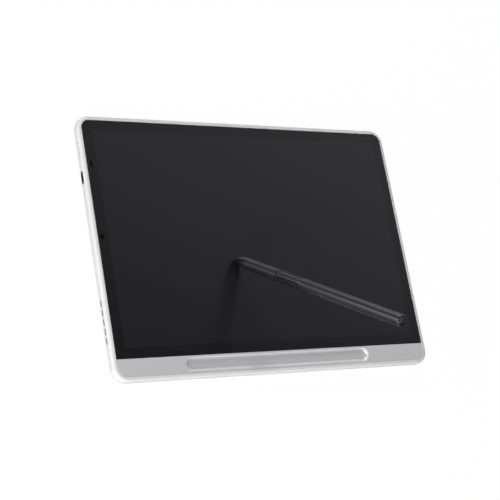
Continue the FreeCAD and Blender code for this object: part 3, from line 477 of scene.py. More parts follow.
def printed_board():
    """Green solder mask over woven glass: the weave shows as a faint square grid."""
    material, tree, place, shader = surface("green_solder_mask", {"IOR": 1.5})
    turned = add(tree, "ShaderNodeMapping", None, {"Vector": place, "Rotation": (0.0, 0.0, math.radians(45))})
    weave = add(tree, "ShaderNodeTexChecker", None, {"Vector": turned.outputs[0], "Scale": per_mm(0.6)})
    mottled(tree, shader, weave.outputs[1], "0F4A30", "145A3A")
    roughened(tree, shader, weave.outputs[1], 0.30, 0.38)
    bumped(tree, shader, weave.outputs[1], 0.01)
    return material


def wound_copper():
    """Enamelled copper wire, wound in turns along the pen, so that it shines in fine rings; its colour is
    painted dark in the grooves between turns as painted shade, and bright on the crests as a painted
    highlight.
    """
    turn_pitch = 0.2
    material, tree, place, shader = surface("enamelled_copper", {"Metallic": 1.0})
    along = add(tree, "ShaderNodeVectorMath", {"operation": "DOT_PRODUCT"}, {0: place, 1: pen_axis})
    turns = add(tree, "ShaderNodeMath", {"operation": "MULTIPLY"},
                {0: along.outputs["Value"], 1: math.tau * per_mm(turn_pitch)})
    wave = add(tree, "ShaderNodeMath", {"operation": "SINE"}, {0: turns.outputs[0]})
    height = add(tree, "ShaderNodeMapRange", None, {"Value": wave.outputs[0], "From Min": -1.0})
    # Painted shade and highlight: dark copper in the grooves between the turns, bright copper on their
    # crests.
    mottled(tree, shader, height.outputs[0], "7A3417", "C8713B")
    roughened(tree, shader, height.outputs[0], 0.25, 0.35)
    bumped(tree, shader, height.outputs[0], 0.05)
    return material


# %% Make every finish
pen_lift = next(joint for joint in frame["joints"] if joint["name"] == "pen_lift")
pen_axis = Vector(pen_lift["axis"]).normalized()

finishes = {
    "white_shell": moulded_white(),
    "satin_aluminium": satin_metal(),
    "etched_glass": etched_glass(),
    "pen_black": satin_black(),
    "pen_button": button_black(),
    "pen_disc": disc_black(),
    "nib_plastic": moulded("nib_black_acetal", "1A1A1A", "242424", 0.2, 0.003, 0.4),
    "chassis": moulded("moulded_black_glass_filled", "141415", "1E1E20", 0.4, 0.01, 0.55),
    "gasket": moulded("black_silicone_rubber", "101010", "1A1A1A", 0.15, 0.01, 0.8),
    "panel_glass": moulded("dark_panel_glass", "08080A", "0C0C0E", 5.0, 0.0005, 0.1),
    "light_tray": moulded("white_reflector_film", "E4E4E2", "EFEFEE", 0.8, 0.005, 0.5),
    "battery_pouch": rolled("aluminium_pouch_foil", "A2A2A4", "B8B8BA", 0.5, 0.01, 0.42),
    "shield_steel": rolled("tinned_steel", "9A9A96", "B4B4B0", 0.15, 0.003, 0.32),
    "dark_mesh": rolled("blackened_steel_wire", "0C0C0C", "161616", 0.1, 0.002, 0.45),
    "camera_module": moulded("glossy_black_moulding", "0A0A0B", "101011", 0.5, 0.002, 0.15),
    "flat_flex": moulded("amber_polyimide_film", "8A4A12", "9C5A1C", 1.5, 0.004, 0.3),
    "screw_steel": rolled("zinc_plated_steel", "86868A", "A4A4A8", 0.1, 0.003, 0.3),
    "foot_rubber": moulded("grey_silicone_rubber", "8A8A8C", "969698", 0.3, 0.01, 0.75),
    "ferrite": moulded("sintered_ferrite", "2A2A2C", "3A3A3C", 0.15, 0.01, 0.5),
    "clear_window": clear_window(),
    "contact_gold": rolled("gold_plated_contact", "B8924A", "CFA85C", 0.1, 0.002, 0.28),
    "circuit_board": printed_board(),
    "copper_winding": wound_copper(),
}
# Each CAD node comes with plain materials that bear the names of their slots.
for node in frame["nodes"].values():
    for holder in node.material_slots:
        holder.material = finishes[holder.material.name]
print("finishes made:", len(finishes))


# %% One call that dresses and hangs a finished piece
def fit(piece, body, slot, *nodes, finish=None):
    """Hangs a piece on its body, in place of these CAD nodes, with its slot's finish or another."""
    piece.data.materials.clear()
    piece.data.materials.append(finishes[finish or slot])
    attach(piece, body)
    if nodes:
        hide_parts(*nodes)
    print(piece.name, "faces", len(piece.data.polygons))


# %% [markdown]
# ## The white back shell
# The real shell is one moulding: a flat back, a large radius up to the side walls and a small
# one over to the rim. A bevelled box would need a bevel for each radius and a third for the
# corners. It is skinned here from outlines along that section, so both radii run round the
# corners without a break. The openings are cut afterwards with bars whose mouths flare a
# little, which leaves the fine chamfer that every moulded hole has.

# %% Skin the shell
mouth_edge = 0.12


def shell_section():
    """Outlines from the middle of the back, over the walls and the rim, to the floor inside."""
    x0, y0, x1, y1 = shell_low.x, shell_low.y, shell_high.x, shell_high.y

    def outside(inset, z):
        return outline(x0 + inset, y0 + inset, x1 - inset, y1 - inset, (corner_r - inset,) * 4, z)

    def inside(inset, z):
        low_r, top_r = chin_corner_r + seam + inset, glass_corner_r + seam + inset
        return outline(glass_low.x - seam - inset, chin_low.y - seam - inset, glass_high.x + seam + inset,
                       glass_high.y + seam + inset, (low_r, low_r, top_r, top_r), z)

    loops = [outside(back_edge_r * (1 - s), shell_low.z + back_edge_r * (1 - c)) for s, c in quarter(10)]
    loops += [outside(front_edge_r * (1 - c), z_top - front_edge_r * (1 - s)) for s, c in quarter(8)]
    loops += [inside(mouth_edge * (1 - s), z_top - mouth_edge * (1 - c)) for s, c in quarter(3)]
    loops.append(inside(0.0, shell_low.z + floor_t))
    return loops


rear_cover = loft("white_back_shell", shell_section())

# %% Cut its openings
key_w, key_gap = 2.2, 0.3
port_w, port_h = 9.2, 3.5
pin_r = 0.5
pin_below_port, pin_below_camera, pin_past_volume = 12.1, 10.95, 13.8
slot_l, slot_h, slot_pitch, slot_count = 4.7, 1.2, 6.22, 5
flare, pin_flare = 0.15, 0.04

slots_low, slots_high = box_mm("speaker_mesh_left")
slots_y = (slots_low.y + slots_high.y) / 2
power_l = 12.0
volume_l = 21.0


def bar(length, width):
    """Round-ended cutting bar whose mouth flares at the wall's face."""
    sizes = ((2 * flare, -over), (2 * flare, 0.0), (0.0, flare), (0.0, wall_t + over))
    return loft("cutter", [pill(length + grow, width + grow, z) for grow, z in sizes])


def hole():
    """The same for a pinhole, with a finer flare."""
    sizes = ((pin_flare, -over), (pin_flare, 0.0), (0.0, pin_flare), (0.0, wall_t + over))
    return loft("cutter", [ring(pin_r + grow, z, 24) for grow, z in sizes])


cutters = [
    on_left(bar(power_l + 2 * key_gap, key_w + 2 * key_gap), power_y),
    on_top(bar(volume_l + 2 * key_gap, key_w + 2 * key_gap), volume_x),
    on_left(bar(port_w, port_h), port_y),
    on_left(hole(), port_y - pin_below_port),
    on_left(hole(), glass_mid.y - pin_below_camera),
    on_top(hole(), volume_x + pin_past_volume),
]
for i in range(slot_count):
    y = slots_y + (i - (slot_count - 1) / 2) * slot_pitch
    cutters += [on_left(bar(slot_l, slot_h), y), on_right(bar(slot_l, slot_h), y)]
fit(smooth(cut(rear_cover, cutters)), "tablet", "white_shell", "rear_cover")

# %% [markdown]
# ## The cover glass
# A sheet of glass 0.7 mm thick with ground edges. The edge is a small round, which catches a
# line of light all along the seam; a bevel modifier would do as well, but the same skin of
# outlines makes it with no clean-up. The strip below the glass is skinned by the same function.

# %% Skin the glass
def edged_sheet(name, low, high, radii, edge, steps):
    """Flat piece as wide and long as its CAD box, with a small round along its upper edge."""
    def drawn_in(inset, z):
        corners = [max(r - inset, least_r) for r in radii]
        return outline(low.x + inset, low.y + inset, high.x - inset, high.y - inset, corners, z)

    loops = [drawn_in(0.0, low.z)]
    loops += [drawn_in(edge * (1 - c), z_top - edge * (1 - s)) for s, c in quarter(steps)]
    return loft(name, loops)


glass_edge = 0.2
glass_radii = (strip_end_r, strip_end_r, glass_corner_r, glass_corner_r)
pane = edged_sheet("glass_pane", glass_low, glass_high, glass_radii, glass_edge, 4)
fit(smooth(pane), "tablet", "etched_glass", "cover_glass")

# %% [markdown]
# ## Windows in the glass
# Two spots are left clear in the black print of the border: an upright slit for the light sensor
# and a round one for the camera. The glass's own material could draw them, but a thin plug sunk
# into the glass gives each a clean edge and a gloss of its own. The plug's face stands a
# hundredth of a millimetre proud, because two faces at the very same height would flicker.

# %% Sink the two windows
window_u, window_drop, window_l, window_w = 3.1, 31.1, 5.2, 1.6
lens_u, lens_r = 2.9, 1.6
lens_l = 2 * lens_r + 0.01  # a hair longer than wide, as a round-ended bar has to be
plug_t, plug_proud = 0.3, 0.01


def sunk_window(name, length, width, x, y):
    """Round-ended plug with its length along Y."""
    plug = loft(name, [pill(length, width, z, 12) for z in (-plug_t, plug_proud)])
    placed(plug, (x, y, z_top), (0, 1, 0), (0, 0, 1))
    fit(smooth(plug), "tablet", "camera_module", finish="clear_window")


sunk_window("sensor_window", window_l, window_w, glass_low.x + window_u, glass_high.y - window_drop)
sunk_window("camera_window", lens_l, 2 * lens_r, glass_low.x + lens_u, glass_mid.y)

# %% [markdown]
# ## The strip with the pen trough
# A long grey strip closes the front below the glass. Its trough holds the pen: a round-ended
# groove with a rounded lip and a rounded floor. It could be cut square and its edges bevelled
# after that, but the two rounds differ too much for one bevel. So the trough is skinned as a
# solid of its own and taken out of the strip, and lip, wall and floor flow into each other as in
# one pressing.

# %% Skin the strip and sink the trough
trough_l, trough_w, trough_depth = 149.0, 9.2, 2.2
trough_lip, trough_round_w, trough_round_h = 0.3, 2.3, 1.9
strip_edge = 0.15
chin_radii = (chin_corner_r, chin_corner_r, strip_end_r, strip_end_r)
chin = edged_sheet("grey_strip", chin_low, chin_high, chin_radii, strip_edge, 3)
trough_y = (chin_low.y + chin_high.y) / 2
floor_z = z_top - trough_depth


def trough_loop(grow, z):
    return pill(trough_l + 2 * grow, trough_w + 2 * grow, z, 14)


loops = [trough_loop(trough_lip, z_top + over)]
loops += [trough_loop(trough_lip * (1 - c), z_top - trough_lip + trough_lip * s)
          for s, c in quarter(5)[::-1]]
loops += [trough_loop(-trough_round_w * (1 - c), floor_z + trough_round_h * (1 - s))
          for s, c in quarter(12)]
trough = placed(loft("cutter", loops), (glass_mid.x, trough_y, 0), (1, 0, 0), (0, 0, 1))
fit(smooth(cut(chin, [trough])), "tablet", "satin_aluminium", "chin_strip")

# %% [markdown]
# ## Keys
# Both keys are the same moulding in two lengths: a round-ended cap that stands 0.4 mm proud,
# and a flange behind the wall that keeps it in. A key could be a cube with its ends bevelled
# round; the same outlines as for the shell give it without one. One function skins both.

# %% Skin the two keys
key_proud, key_edge = 0.4, 0.2
flange_z, flange_t, flange_lip, flange_corner_r = 2.0, 0.6, 0.9, 0.3


def key(name, length):
    """Cap and flange in one skin; local Z runs from the wall's face into the tablet."""
    edge = [(2 * key_edge * (1 - s), key_edge * (1 - c)) for s, c in quarter(4)]
    loops = [pill(length - less, key_w - less, drop - key_proud) for less, drop in edge]
    loops.append(pill(length, key_w, flange_z))
    half_l, half_w = length / 2 + flange_lip, key_w / 2 + flange_lip
    loops += [outline(-half_l, -half_w, half_l, half_w, (flange_corner_r,) * 4, z, 8)
              for z in (flange_z, flange_z + flange_t)]
    return loft(name, loops)


fit(smooth(on_left(key("power_key", power_l), power_y)), "power_button", "white_shell", "power_button")
fit(smooth(on_top(key("volume_key", volume_l), volume_x)), "volume_rocker", "white_shell", "volume_rocker")

# %% [markdown]
# ## Copies in rows, with Geometry Nodes
# Wires of a mesh, contacts of a socket, ribs of a grip and rubber feet are all the same thing:
# one small part, repeated at a pitch. An Array modifier makes one row at a time; one tree of
# Geometry Nodes makes rows and grids alike. It lays out a grid of points, puts the piece's own
# mesh on each, makes the copies real and gives them a material.

# %% Build the tree
def copies_tree():
    """Geometry Nodes: copies of the piece on a grid of points round its origin."""
    tree = bpy.data.node_groups.new("copies_on_a_grid", "GeometryNodeTree")
    tree.interface.new_socket("Part", in_out="INPUT", socket_type="NodeSocketGeometry")
    for label, kind in (("Across", "NodeSocketInt"), ("Up", "NodeSocketInt"), ("Width", "NodeSocketFloat"),
                        ("Height", "NodeSocketFloat"), ("Finish", "NodeSocketMaterial")):
        tree.interface.new_socket(label, in_out="INPUT", socket_type=kind)
    tree.interface.new_socket("Copies", in_out="OUTPUT", socket_type="NodeSocketGeometry")
    given = add(tree, "NodeGroupInput").outputs
    grid = add(tree, "GeometryNodeMeshGrid", None, {"Size X": given["Width"], "Size Y": given["Height"],
                                                    "Vertices X": given["Across"], "Vertices Y": given["Up"]})
    on_points = add(tree, "GeometryNodeInstanceOnPoints", None,
                    {"Points": grid.outputs["Mesh"], "Instance": given["Part"]})
    real = add(tree, "GeometryNodeRealizeInstances", None, {"Geometry": on_points.outputs[0]})
    dressed = add(tree, "GeometryNodeSetMaterial", None,
                  {"Geometry": real.outputs[0], "Material": given["Finish"]})
    add(tree, "NodeGroupOutput", None, {"Copies": dressed.outputs[0]})
    return tree


grid_of_copies = copies_tree()
print("tree", grid_of_copies.name, "has", len(grid_of_copies.nodes), "nodes")


def repeated(piece, across, up, width, height, finish):
    """Runs the tree on a piece: so many copies across and up, spread over a width and a height in mm."""
    modifier = piece.modifiers.new("copies", "NODES")
    modifier.node_group = grid_of_copies
    values = {"Across": across, "Up": up, "Width": width * MM, "Height": height * MM, "Finish": finish}
    for item in grid_of_copies.interface.items_tree:
        if item.in_out == "INPUT" and item.name in values:
            modifier[item.identifier] = values[item.name]
    return applied(piece)


# %% [markdown]
# ## Rubber feet
# Four low pads are stuck to the flat back. The pad is a round-ended bar with a softly domed
# face, and the grid of copies puts one near each corner.

# %% Make one pad, then four
foot_l, foot_w, foot_dome = 22.0, 6.0, 0.25
feet_low, feet_high = box_mm("rubber_feet")
foot_h = feet_high.z - feet_low.z
loops = [pill(foot_l - 2 * foot_dome * (1 - s), foot_w - 2 * foot_dome * (1 - s), foot_dome * (1 - c))
         for s, c in quarter(4)]
loops.append(pill(foot_l, foot_w, foot_h))
feet = repeated(loft("rubber_pads", loops), 2, 2, feet_high.x - feet_low.x - foot_l,
                feet_high.y - feet_low.y - foot_w, finishes["foot_rubber"])
feet_mid = (feet_low + feet_high) / 2
placed(feet, (feet_mid.x, feet_mid.y, feet_low.z), (1, 0, 0), (0, 0, 1))
fit(smooth(feet), "tablet", "foot_rubber", "rubber_feet")

# %% [markdown]
# ## Speaker meshes
# A blackened mesh keeps dust out of the speakers. It lies flat behind the wall and is pressed
# out into each slot, so that one sees black right behind the wall's face. Real wire cloth has a
# pitch near 0.2 mm; it is drawn at 0.36 mm so that it still reads in a close view. One patch of
# cloth is woven for one slot, and the grid of copies sets it in all five.

# %% Weave one patch of cloth
wire_r, wire_sides, wire_pitch, wires_up = 0.08, 6, 0.36, 3
wire_smooth = 360 / wire_sides + 2  # degrees, just above the turn from one side to the next
boss_gap, boss_recess = 0.05, 0.25


def joined(name, pieces):
    """One piece from several meshes."""
    mesh = bmesh.new()
    for piece in pieces:
        mesh.from_mesh(piece.data)
        bpy.data.objects.remove(piece)
    return new_piece(name, mesh)


def wire(length, along):
    """Straight wire, along X or Y."""
    piece = loft("wire", [ring(wire_r, z, wire_sides) for z in (-length / 2, length / 2)])
    return placed(piece, (0, 0, 0), (0, 0, 1), (1, 0, 0) if along == "X" else (0, 1, 0))


def boss_patch(finish):
    """Round-ended boss of the mesh, with the weave on its face; local Z runs into the wall."""
    length, height = slot_l - 2 * boss_gap, slot_h - 2 * boss_gap
    face = boss_recess + wire_r
    boss = loft("boss", [pill(length, height, z) for z in (face, wall_t)])
    across = int((length - height) / wire_pitch) + 1
    upright = repeated(wire(height, "Y"), across, 1, length - height, 0.0, finish)
    level = repeated(wire(length - height / 2, "X"), 1, wires_up, 0.0, wire_pitch * (wires_up - 1), finish)
    for weave in (upright, level):
        weave.data.transform(Matrix.Translation((0, 0, face * MM)))
    return joined("patch", [boss, upright, level])


def grille(name):
    """The patch in every slot, on the flat strip behind the wall."""
    black = finishes["dark_mesh"]
    patches = repeated(boss_patch(black), slot_count, 1, slot_pitch * (slot_count - 1), 0.0, black)
    size = slots_high - slots_low
    strip_behind = loft("strip", [pill(size.y, size.z, z) for z in (wall_t, slots_high.x - shell_low.x)])
    return joined(name, [patches, strip_behind])


for side, place_on in (("left", on_left), ("right", on_right)):
    mesh_piece = place_on(grille("wire_cloth_" + side), slots_y)
    fit(smooth(mesh_piece, wire_smooth), "tablet", "dark_mesh", "speaker_mesh_" + side)

# %% [markdown]
# ## The port
# Through the mouth of the port one sees the steel shell of the socket and its black tongue with
# twelve contacts on each face. The shell and tongue are copies of the CAD nodes with their loose
# triangles merged; the contacts are a grid of copies again.

# %% Smooth the socket and lay the contacts
contact_l, contact_w, contact_t, contact_pitch, contact_count = 3.2, 0.25, 0.03, 0.5, 12
contact_inset, contact_corner_r = 0.4, 0.05
tongue_t = 0.7
fit(smooth(merged_copy("usb_c_socket", "port_shell")), "tablet", "shield_steel", "usb_c_socket")
fit(smooth(merged_copy("usb_c_tongue", "port_tongue")), "tablet", "chassis", "usb_c_tongue")
tongue_tip = box_mm("usb_c_tongue")[0].x
depth = tongue_tip - shell_low.x + contact_inset
radii = (contact_corner_r,) * 4
contact_loops = [outline(-contact_w / 2, depth, contact_w / 2, depth + contact_l, radii, z, 2)
                 for z in (-contact_t / 2, contact_t / 2)]
faces = []
for side in (-1, 1):
    row = repeated(loft("contact", contact_loops), contact_count, 1, contact_pitch * (contact_count - 1),
                   0.0, finishes["contact_gold"])
    row.data.transform(Matrix.Translation((0, 0, side * (tongue_t + contact_t) / 2 * MM)))
    faces.append(row)
contacts = placed(joined("port_contacts", faces), (shell_low.x, port_y, z_side), (0, -1, 0), (0, 0, 1))
fit(contacts, "tablet", "shield_steel", finish="contact_gold")

# %% [markdown]
# ## The pen
# The pen is turned: every part of it but the side button is a section swung round one axis. A
# Screw modifier would swing it as well; rings made from a list of heights and radii keep every
# size in view. Each part is skinned on the pen's own axis, tip at the origin, and then laid along
# the direction that the frame's joints give.

# %% Find the pen's axis and tip
rocker_mid, axle_height = 51.3, 0.8
side_rock = next(joint for joint in frame["joints"] if joint["name"] == "side_rock")
axle_dir = Vector(side_rock["axis"]).normalized()
button_dir = axle_dir.cross(pen_axis).normalized()
tip = Vector(side_rock["pos_m"]) / MM - pen_axis * rocker_mid - button_dir * axle_height
print("pen tip at", [round(v, 2) for v in tip])


def in_hand(piece):
    """Lays a piece of the pen, made tip down on its own axis, along the axis in the frame."""
    return placed(piece, tip, button_dir, pen_axis)


def turned(name, section, steps=72, closed=False):
    """Solid or tube of revolution from (height, radius) pairs along the pen."""
    return loft(name, [ring(r, z, steps) for z, r in section], closed)


# %% Turn the nose and the nib
pen_r, pen_l, pen_wall = 4.15, 144.5, 0.8
tip_out, tip_mouth_r, taper_end, nose_end = 1.6, 2.2, 11.6, 36.0
nib_r, nib_l, nib_hole_r = 0.8, 29.0, 1.05
mouth_round, hole_edge, bore_taper = 0.6, 0.12, 6.0
nib_flat_z, nib_flat_r = 0.01, 0.1
part_line = 0.08
arc_steps = 30


def nose_radius(z):
    """One long arc from the mouth that runs out into the barrel."""
    drop, reach = pen_r - tip_mouth_r, taper_end - tip_out
    bow = (reach ** 2 + drop ** 2) / (2 * drop)
    return pen_r - bow + math.sqrt(bow ** 2 - max(taper_end - z, 0.0) ** 2)


start = tip_out + mouth_round
lip_r = nose_radius(start) - mouth_round
section = [(tip_out + hole_edge, nib_hole_r), (tip_out, nib_hole_r + hole_edge)]
section += [(start - mouth_round * c, lip_r + mouth_round * s) for s, c in quarter(8)]
heights = [start + (taper_end - start) * i / arc_steps for i in range(1, arc_steps + 1)]
section += [(z, nose_radius(z)) for z in heights]
section += [(nose_end - part_line, pen_r), (nose_end, pen_r - part_line), (nose_end, pen_r - pen_wall),
            (nose_end - bore_taper, nib_hole_r)]
nose = in_hand(turned("pen_tip_cone", section, closed=True))
fit(smooth(nose, degrees=40), "pen", "pen_black", "pen_nose")
section = [(nib_flat_z, nib_flat_r)]
section += [(nib_r * (1 - c), nib_r * s) for s, c in quarter(6)[1:]]
section.append((nib_l, nib_r))
fit(smooth(in_hand(turned("pen_nib", section, 32))), "nib", "nib_plastic", "nib")

# %% [markdown]
# ## The barrel and its side button
# The barrel is a plain tube with a round-ended window. The button is a pad that follows the
# tube's curve; with its grip ribs it stands 0.3 mm proud. The pad is skinned from cross-sections
# along the pen, so that its ends round off in plan. The ribs are one curved rib, repeated by the
# tree.

# %% Turn the barrel and cut its window
cap_l = 5.0
rocker_l, rocker_w, rocker_gap, rocker_proud, rocker_under = 22.0, 4.6, 0.3, 0.3, 2.9
barrel_end = pen_l - cap_l
inner_r = pen_r - pen_wall
section = [(nose_end, inner_r), (nose_end, pen_r - part_line), (nose_end + part_line, pen_r),
           (barrel_end - part_line, pen_r), (barrel_end, pen_r - part_line), (barrel_end, inner_r)]
barrel = turned("pen_tube", section, 96, closed=True)
opening = loft("cutter", [pill(rocker_l + 2 * rocker_gap, rocker_w + 2 * rocker_gap, z, 12)
                          for z in (0.0, pen_r + over)])
placed(opening, (0, 0, rocker_mid), (0, 0, 1), (1, 0, 0))
fit(smooth(in_hand(cut(barrel, [opening]))), "pen", "pen_black", "pen_barrel")

# %% Skin the button's pad
pad_round, pad_draft, pad_least = 0.35, 0.3, 0.02
flat_share, full_share = 0.75, 0.96  # where the shoulders start, across the pad and along it
pad_across, pad_along = 16, 24
rib_pitch, rib_groove, rib_height = 1.5, 0.6, 0.25
crown_r = pen_r + rocker_proud - rib_height


def past(value, limit):
    """How far a value lies beyond its limit, as a share of what is left up to 1."""
    return max(value - limit, 0.0) / (1 - limit)


def pad_half_width(s):
    """Half the pad's width at a distance from its middle: straight sides, round ends."""
    end = max(abs(s) - (rocker_l - rocker_w) / 2, 0.0)
    return math.sqrt(max((rocker_w / 2) ** 2 - end ** 2, 0.0))


def pad_loop(s, drop):
    """Closed cross-section: crown from side to side with rounded shoulders, then a flat underside."""
    half = max(pad_half_width(s) - drop * pad_draft, pad_least)
    points = []
    for i in range(pad_across + 1):
        t = -1 + 2 * i / pad_across
        shoulder = pad_round * (1 - math.sqrt(max(1 - past(abs(t), flat_share) ** 2, 0.0)))
        r = crown_r - shoulder - drop
        y = t * half
        points.append((math.sqrt(r ** 2 - y ** 2), y, rocker_mid + s))
    points += [(rocker_under, half, rocker_mid + s), (rocker_under, -half, rocker_mid + s)]
    return points


shares = [math.sin(math.pi / 2 * i / pad_along) for i in range(-pad_along, pad_along + 1)]
loops = [pad_loop(rocker_l / 2 * t, pad_round * past(abs(t), full_share)) for t in shares]
pad = in_hand(loft("button_pad", loops))
fit(smooth(pad, degrees=50), "side_button", "pen_button", "side_button")

# %% Add its ribs
rib_inset, rib_edge_w, rib_edge_h, rib_full_share, rib_across = 0.5, 0.12, 0.1, 0.8, 10
rib_l = rocker_w - 2 * rib_inset
rib_w = rib_pitch - rib_groove
rib_count = int((rocker_l - rocker_w) / rib_pitch)


def rib():
    """Bar across the pad that follows its crown, with rounded edges and ends that run out into it."""
    half, flat = rib_w / 2, rib_w / 2 - rib_edge_w
    low, high = rib_height - rib_edge_h, rib_height
    foot = -rib_edge_h
    profile = [(-half, foot), (-half, low), (-flat, high), (flat, high), (half, low), (half, foot)]
    loops = []
    for i in range(-rib_across, rib_across + 1):
        t = math.sin(math.pi / 2 * i / rib_across)
        y = t * rib_l / 2
        fade = math.sqrt(max(1 - past(abs(t), rib_full_share) ** 2, 0.0))
        heights = [(z, crown_r + (h * fade if h > 0 else h)) for z, h in profile]
        loops.append([(math.sqrt(r ** 2 - y ** 2), y, z) for z, r in heights])
    return loft("rib", loops)


upright = rib()
upright.data.transform(Matrix.Rotation(math.radians(90), 4, "Y"))
ribs = repeated(upright, rib_count, 1, rib_pitch * (rib_count - 1), 0.0, finishes["pen_button"])
ribs.data.transform(Matrix.Rotation(math.radians(-90), 4, "Y"))
ribs.data.transform(Matrix.Translation((0, 0, rocker_mid * MM)))
ribs.name = "button_ribs"
fit(smooth(in_hand(ribs), degrees=50), "side_button", "pen_button")

# %% [markdown]
# ## The pen's end
# A short cap closes the barrel. Its rim is rounded over and its end is dished, with a turned
# disc at the bottom of the dish that catches the light in a small crescent. Both are sections
# swung round the axis again, because a dish cut in afterwards can leave ragged shading.

# %% Turn the cap and the disc
cap_edge_r, cap_spigot, cap_gap, cap_pole_r = 0.9, 4.0, 0.05, 0.5
dish_r, dish_depth, dish_round = 3.2, 1.1, 0.2
disc_r, disc_t, disc_edge, disc_rim = 2.4, 0.5, 0.15, 0.6
disc_dip, disc_pole_dip, disc_pole_r = 0.12, 0.18, 0.3
spigot_r = inner_r - cap_gap
section = [(barrel_end - cap_spigot, cap_pole_r), (barrel_end - cap_spigot, spigot_r), (barrel_end, spigot_r),
           (barrel_end, pen_r - part_line), (barrel_end + part_line, pen_r)]
section += [(pen_l - cap_edge_r * (1 - s), pen_r - cap_edge_r * (1 - c)) for s, c in quarter(8)]
section += [(pen_l - dish_round * (1 - c), dish_r + dish_round * (1 - s)) for s, c in quarter(4)]
section += [(pen_l - dish_depth, dish_r), (pen_l - dish_depth, cap_pole_r)]
fit(smooth(in_hand(turned("pen_rear_cap", section)), degrees=40), "pen", "pen_black", "pen_end_cap")
disc_top = pen_l - dish_depth + disc_t
section = [(disc_top - disc_t, disc_r), (disc_top - disc_edge, disc_r), (disc_top, disc_r - disc_edge),
           (disc_top - disc_dip, disc_r - disc_rim), (disc_top - disc_pole_dip, disc_pole_r)]
fit(smooth(in_hand(turned("pen_disc_plate", section, 48)), degrees=25), "pen", "pen_disc", "end_disc")

# %% [markdown]
# ## Table and light
# The tablet lies on a pale table in a white room. The table glows for the camera only, so it
# reads as white and still keeps the soft shadow. Square softboxes stand all round, about 1.35 m
# away: the one at the front left lights the rim, the low one in front the lower edge, the one
# above the strip and the trough, and those behind draw the thin line along the pen. A long low
# one at the left draws the band below that line. What shines mirrors a room that is dim at the
# front and bright behind on the right. One lamp and an even room would be simpler, but glass and
# satin show what stands round them, so each line of light needs something that makes it.

# %% Table
glow_share, glow_strength = 0.85, 1.134


def table_finish():
    """White laminate that shows nearly white to the camera, with the object's shadow left in."""
    material, tree, place, shader = surface(
        "white_laminate", {"Base Color": linear("9A9A9A"), "Roughness": 0.7})
    seen = add(tree, "ShaderNodeLightPath").outputs["Is Camera Ray"]
    share = add(tree, "ShaderNodeMath", {"operation": "MULTIPLY"}, {0: seen, 1: glow_share})
    glow = add(tree, "ShaderNodeEmission", None, {"Color": (1, 1, 1, 1), "Strength": glow_strength})
    mix = add(tree, "ShaderNodeMixShader", None,
              {0: share.outputs[0], 1: shader.outputs[0], 2: glow.outputs[0]})
    output = next(node for node in tree.nodes if node.type == "OUTPUT_MATERIAL")
    tree.links.new(mix.outputs[0], output.inputs["Surface"])
    grain = add(tree, "ShaderNodeTexNoise", None, {"Vector": place, "Scale": per_mm(2.0), "Detail": 2.0})
    bumped(tree, shader, grain.outputs[0], 0.01)
    return material


table_half, table_corner_r, table_t = 4000.0, 10.0, 20.0
ends = (-table_half, -table_half, table_half, table_half)
table = loft("table_top", [outline(*ends, (table_corner_r,) * 4, z, 2) for z in (-table_t, 0.0)])
table.data.materials.append(table_finish())
print("table", 2 * table_half * MM, "m square")

# %% Room light
bright_side = (0.555, 0.832, 0.0)
dim_until, bright_from, dim, bright = 0.40, 0.62, 0.16, 0.87
room_fill = 0.06
room = bpy.data.worlds.new("white_room")
bpy.context.scene.world = room
room.use_nodes = True
room.node_tree.nodes.clear()
tree = room.node_tree
rays = add(tree, "ShaderNodeLightPath").outputs
direct = add(tree, "ShaderNodeMath", {"operation": "MAXIMUM"},
             {0: rays["Is Glossy Ray"], 1: rays["Is Transmission Ray"]})
shown = add(tree, "ShaderNodeMath", {"operation": "MAXIMUM"},
            {0: rays["Is Camera Ray"], 1: direct.outputs[0]})
across = add(tree, "ShaderNodeVectorMath", {"operation": "DOT_PRODUCT"},
             {0: add(tree, "ShaderNodeTexCoord").outputs["Generated"], 1: bright_side})
rise = add(tree, "ShaderNodeMapRange", None,
           {"Value": across.outputs["Value"], "From Min": dim_until, "From Max": bright_from,
            "To Min": dim, "To Max": bright})
seen_room = add(tree, "ShaderNodeMath", {"operation": "MAXIMUM"},
                {0: rise.outputs[0], 1: rays["Is Camera Ray"]})
walls = add(tree, "ShaderNodeBackground", None, {"Color": (1, 1, 1, 1), "Strength": seen_room.outputs[0]})
fill = add(tree, "ShaderNodeBackground", None, {"Color": (1, 1, 1, 1), "Strength": room_fill})
choice = add(tree, "ShaderNodeMixShader", None,
             {0: shown.outputs[0], 1: fill.outputs[0], 2: walls.outputs[0]})
add(tree, "ShaderNodeOutputWorld", None, {"Surface": choice.outputs[0]})
print("room mirrored at", dim, "to", bright, "and lit at", room_fill)


# %% Lamps
middle = Vector((0.0, 0.0, 0.03))
softbox_size = 0.35


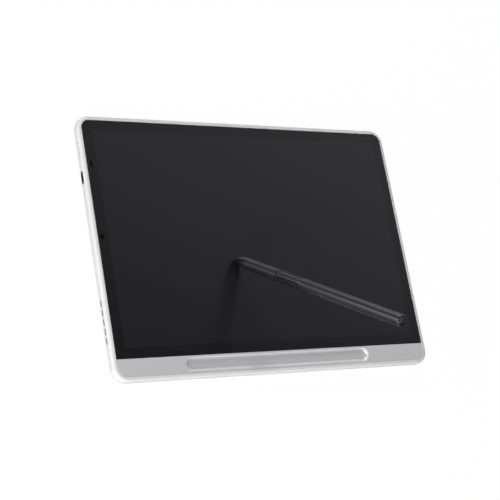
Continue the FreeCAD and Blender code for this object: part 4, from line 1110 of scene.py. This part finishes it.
def lamp(name, place, watts, size=softbox_size, height=None):
    """Area lamp that looks at the tablet's middle, all in metres; square unless a height is given."""
    data = bpy.data.lights.new(name, "AREA")
    data.size = size
    if height:
        data.shape = "RECTANGLE"
        data.size_y = height
    data.energy = watts
    holder = bpy.data.objects.new(name, data)
    holder.location = place
    holder.rotation_euler = (middle - Vector(place)).to_track_quat("-Z", "Y").to_euler()
    bpy.context.scene.collection.objects.link(holder)
    print(name, round((middle - Vector(place)).length, 2), "m away,", watts, "W")


lamp("softbox_front_left", (-0.865, -0.865, 0.60), 7.2)
lamp("softbox_front", (0.0, -1.34, 0.22), 6.0)
lamp("softbox_behind", (0.0, 1.22, 0.60), 7.0)
lamp("softbox_above", (-0.48, -0.48, 1.20), 3.6)
lamp("softbox_behind_right", (0.67, 1.16, 0.22), 1.2)
lamp("strip_low_left", (-1.3, 0.05, 0.08), 6.6, size=0.8, height=0.1)

# %% [markdown]
# ## The camera
# The camera looks down on the tablet from the left and a little in front, about a metre away. It
# could be placed by eye. Here its place, in metres, was worked out from the perspective of the
# glass's four corners, so that a size in the scene comes out right in the picture. Its focal
# length is given in pixels of the square frame and turned into millimetres.

# %% Camera
camera_place = Vector((-0.5277, -0.2446, 0.7656))
camera_forward = Vector((0.54609, 0.25352, -0.79844))
camera_up = Vector((0.00507, 0.95209, 0.30578))
focal_px, frame_px, sensor_mm = 1374.57, 500, 36.0
camera = bpy.data.cameras.new("camera")
camera.sensor_width = sensor_mm
camera.lens = focal_px / frame_px * sensor_mm
camera_holder = bpy.data.objects.new("camera", camera)
right = camera_forward.cross(camera_up).normalized()
up = right.cross(camera_forward).normalized()
turn = Matrix((right, up, -camera_forward.normalized())).transposed().to_4x4()
camera_holder.matrix_world = Matrix.Translation(camera_place) @ turn
bpy.context.scene.collection.objects.link(camera_holder)
bpy.context.scene.camera = camera_holder
bpy.context.scene.view_settings.view_transform = "Standard"
print("camera", round(camera_place.length, 2), "m from the origin, lens", round(camera.lens, 1), "mm")
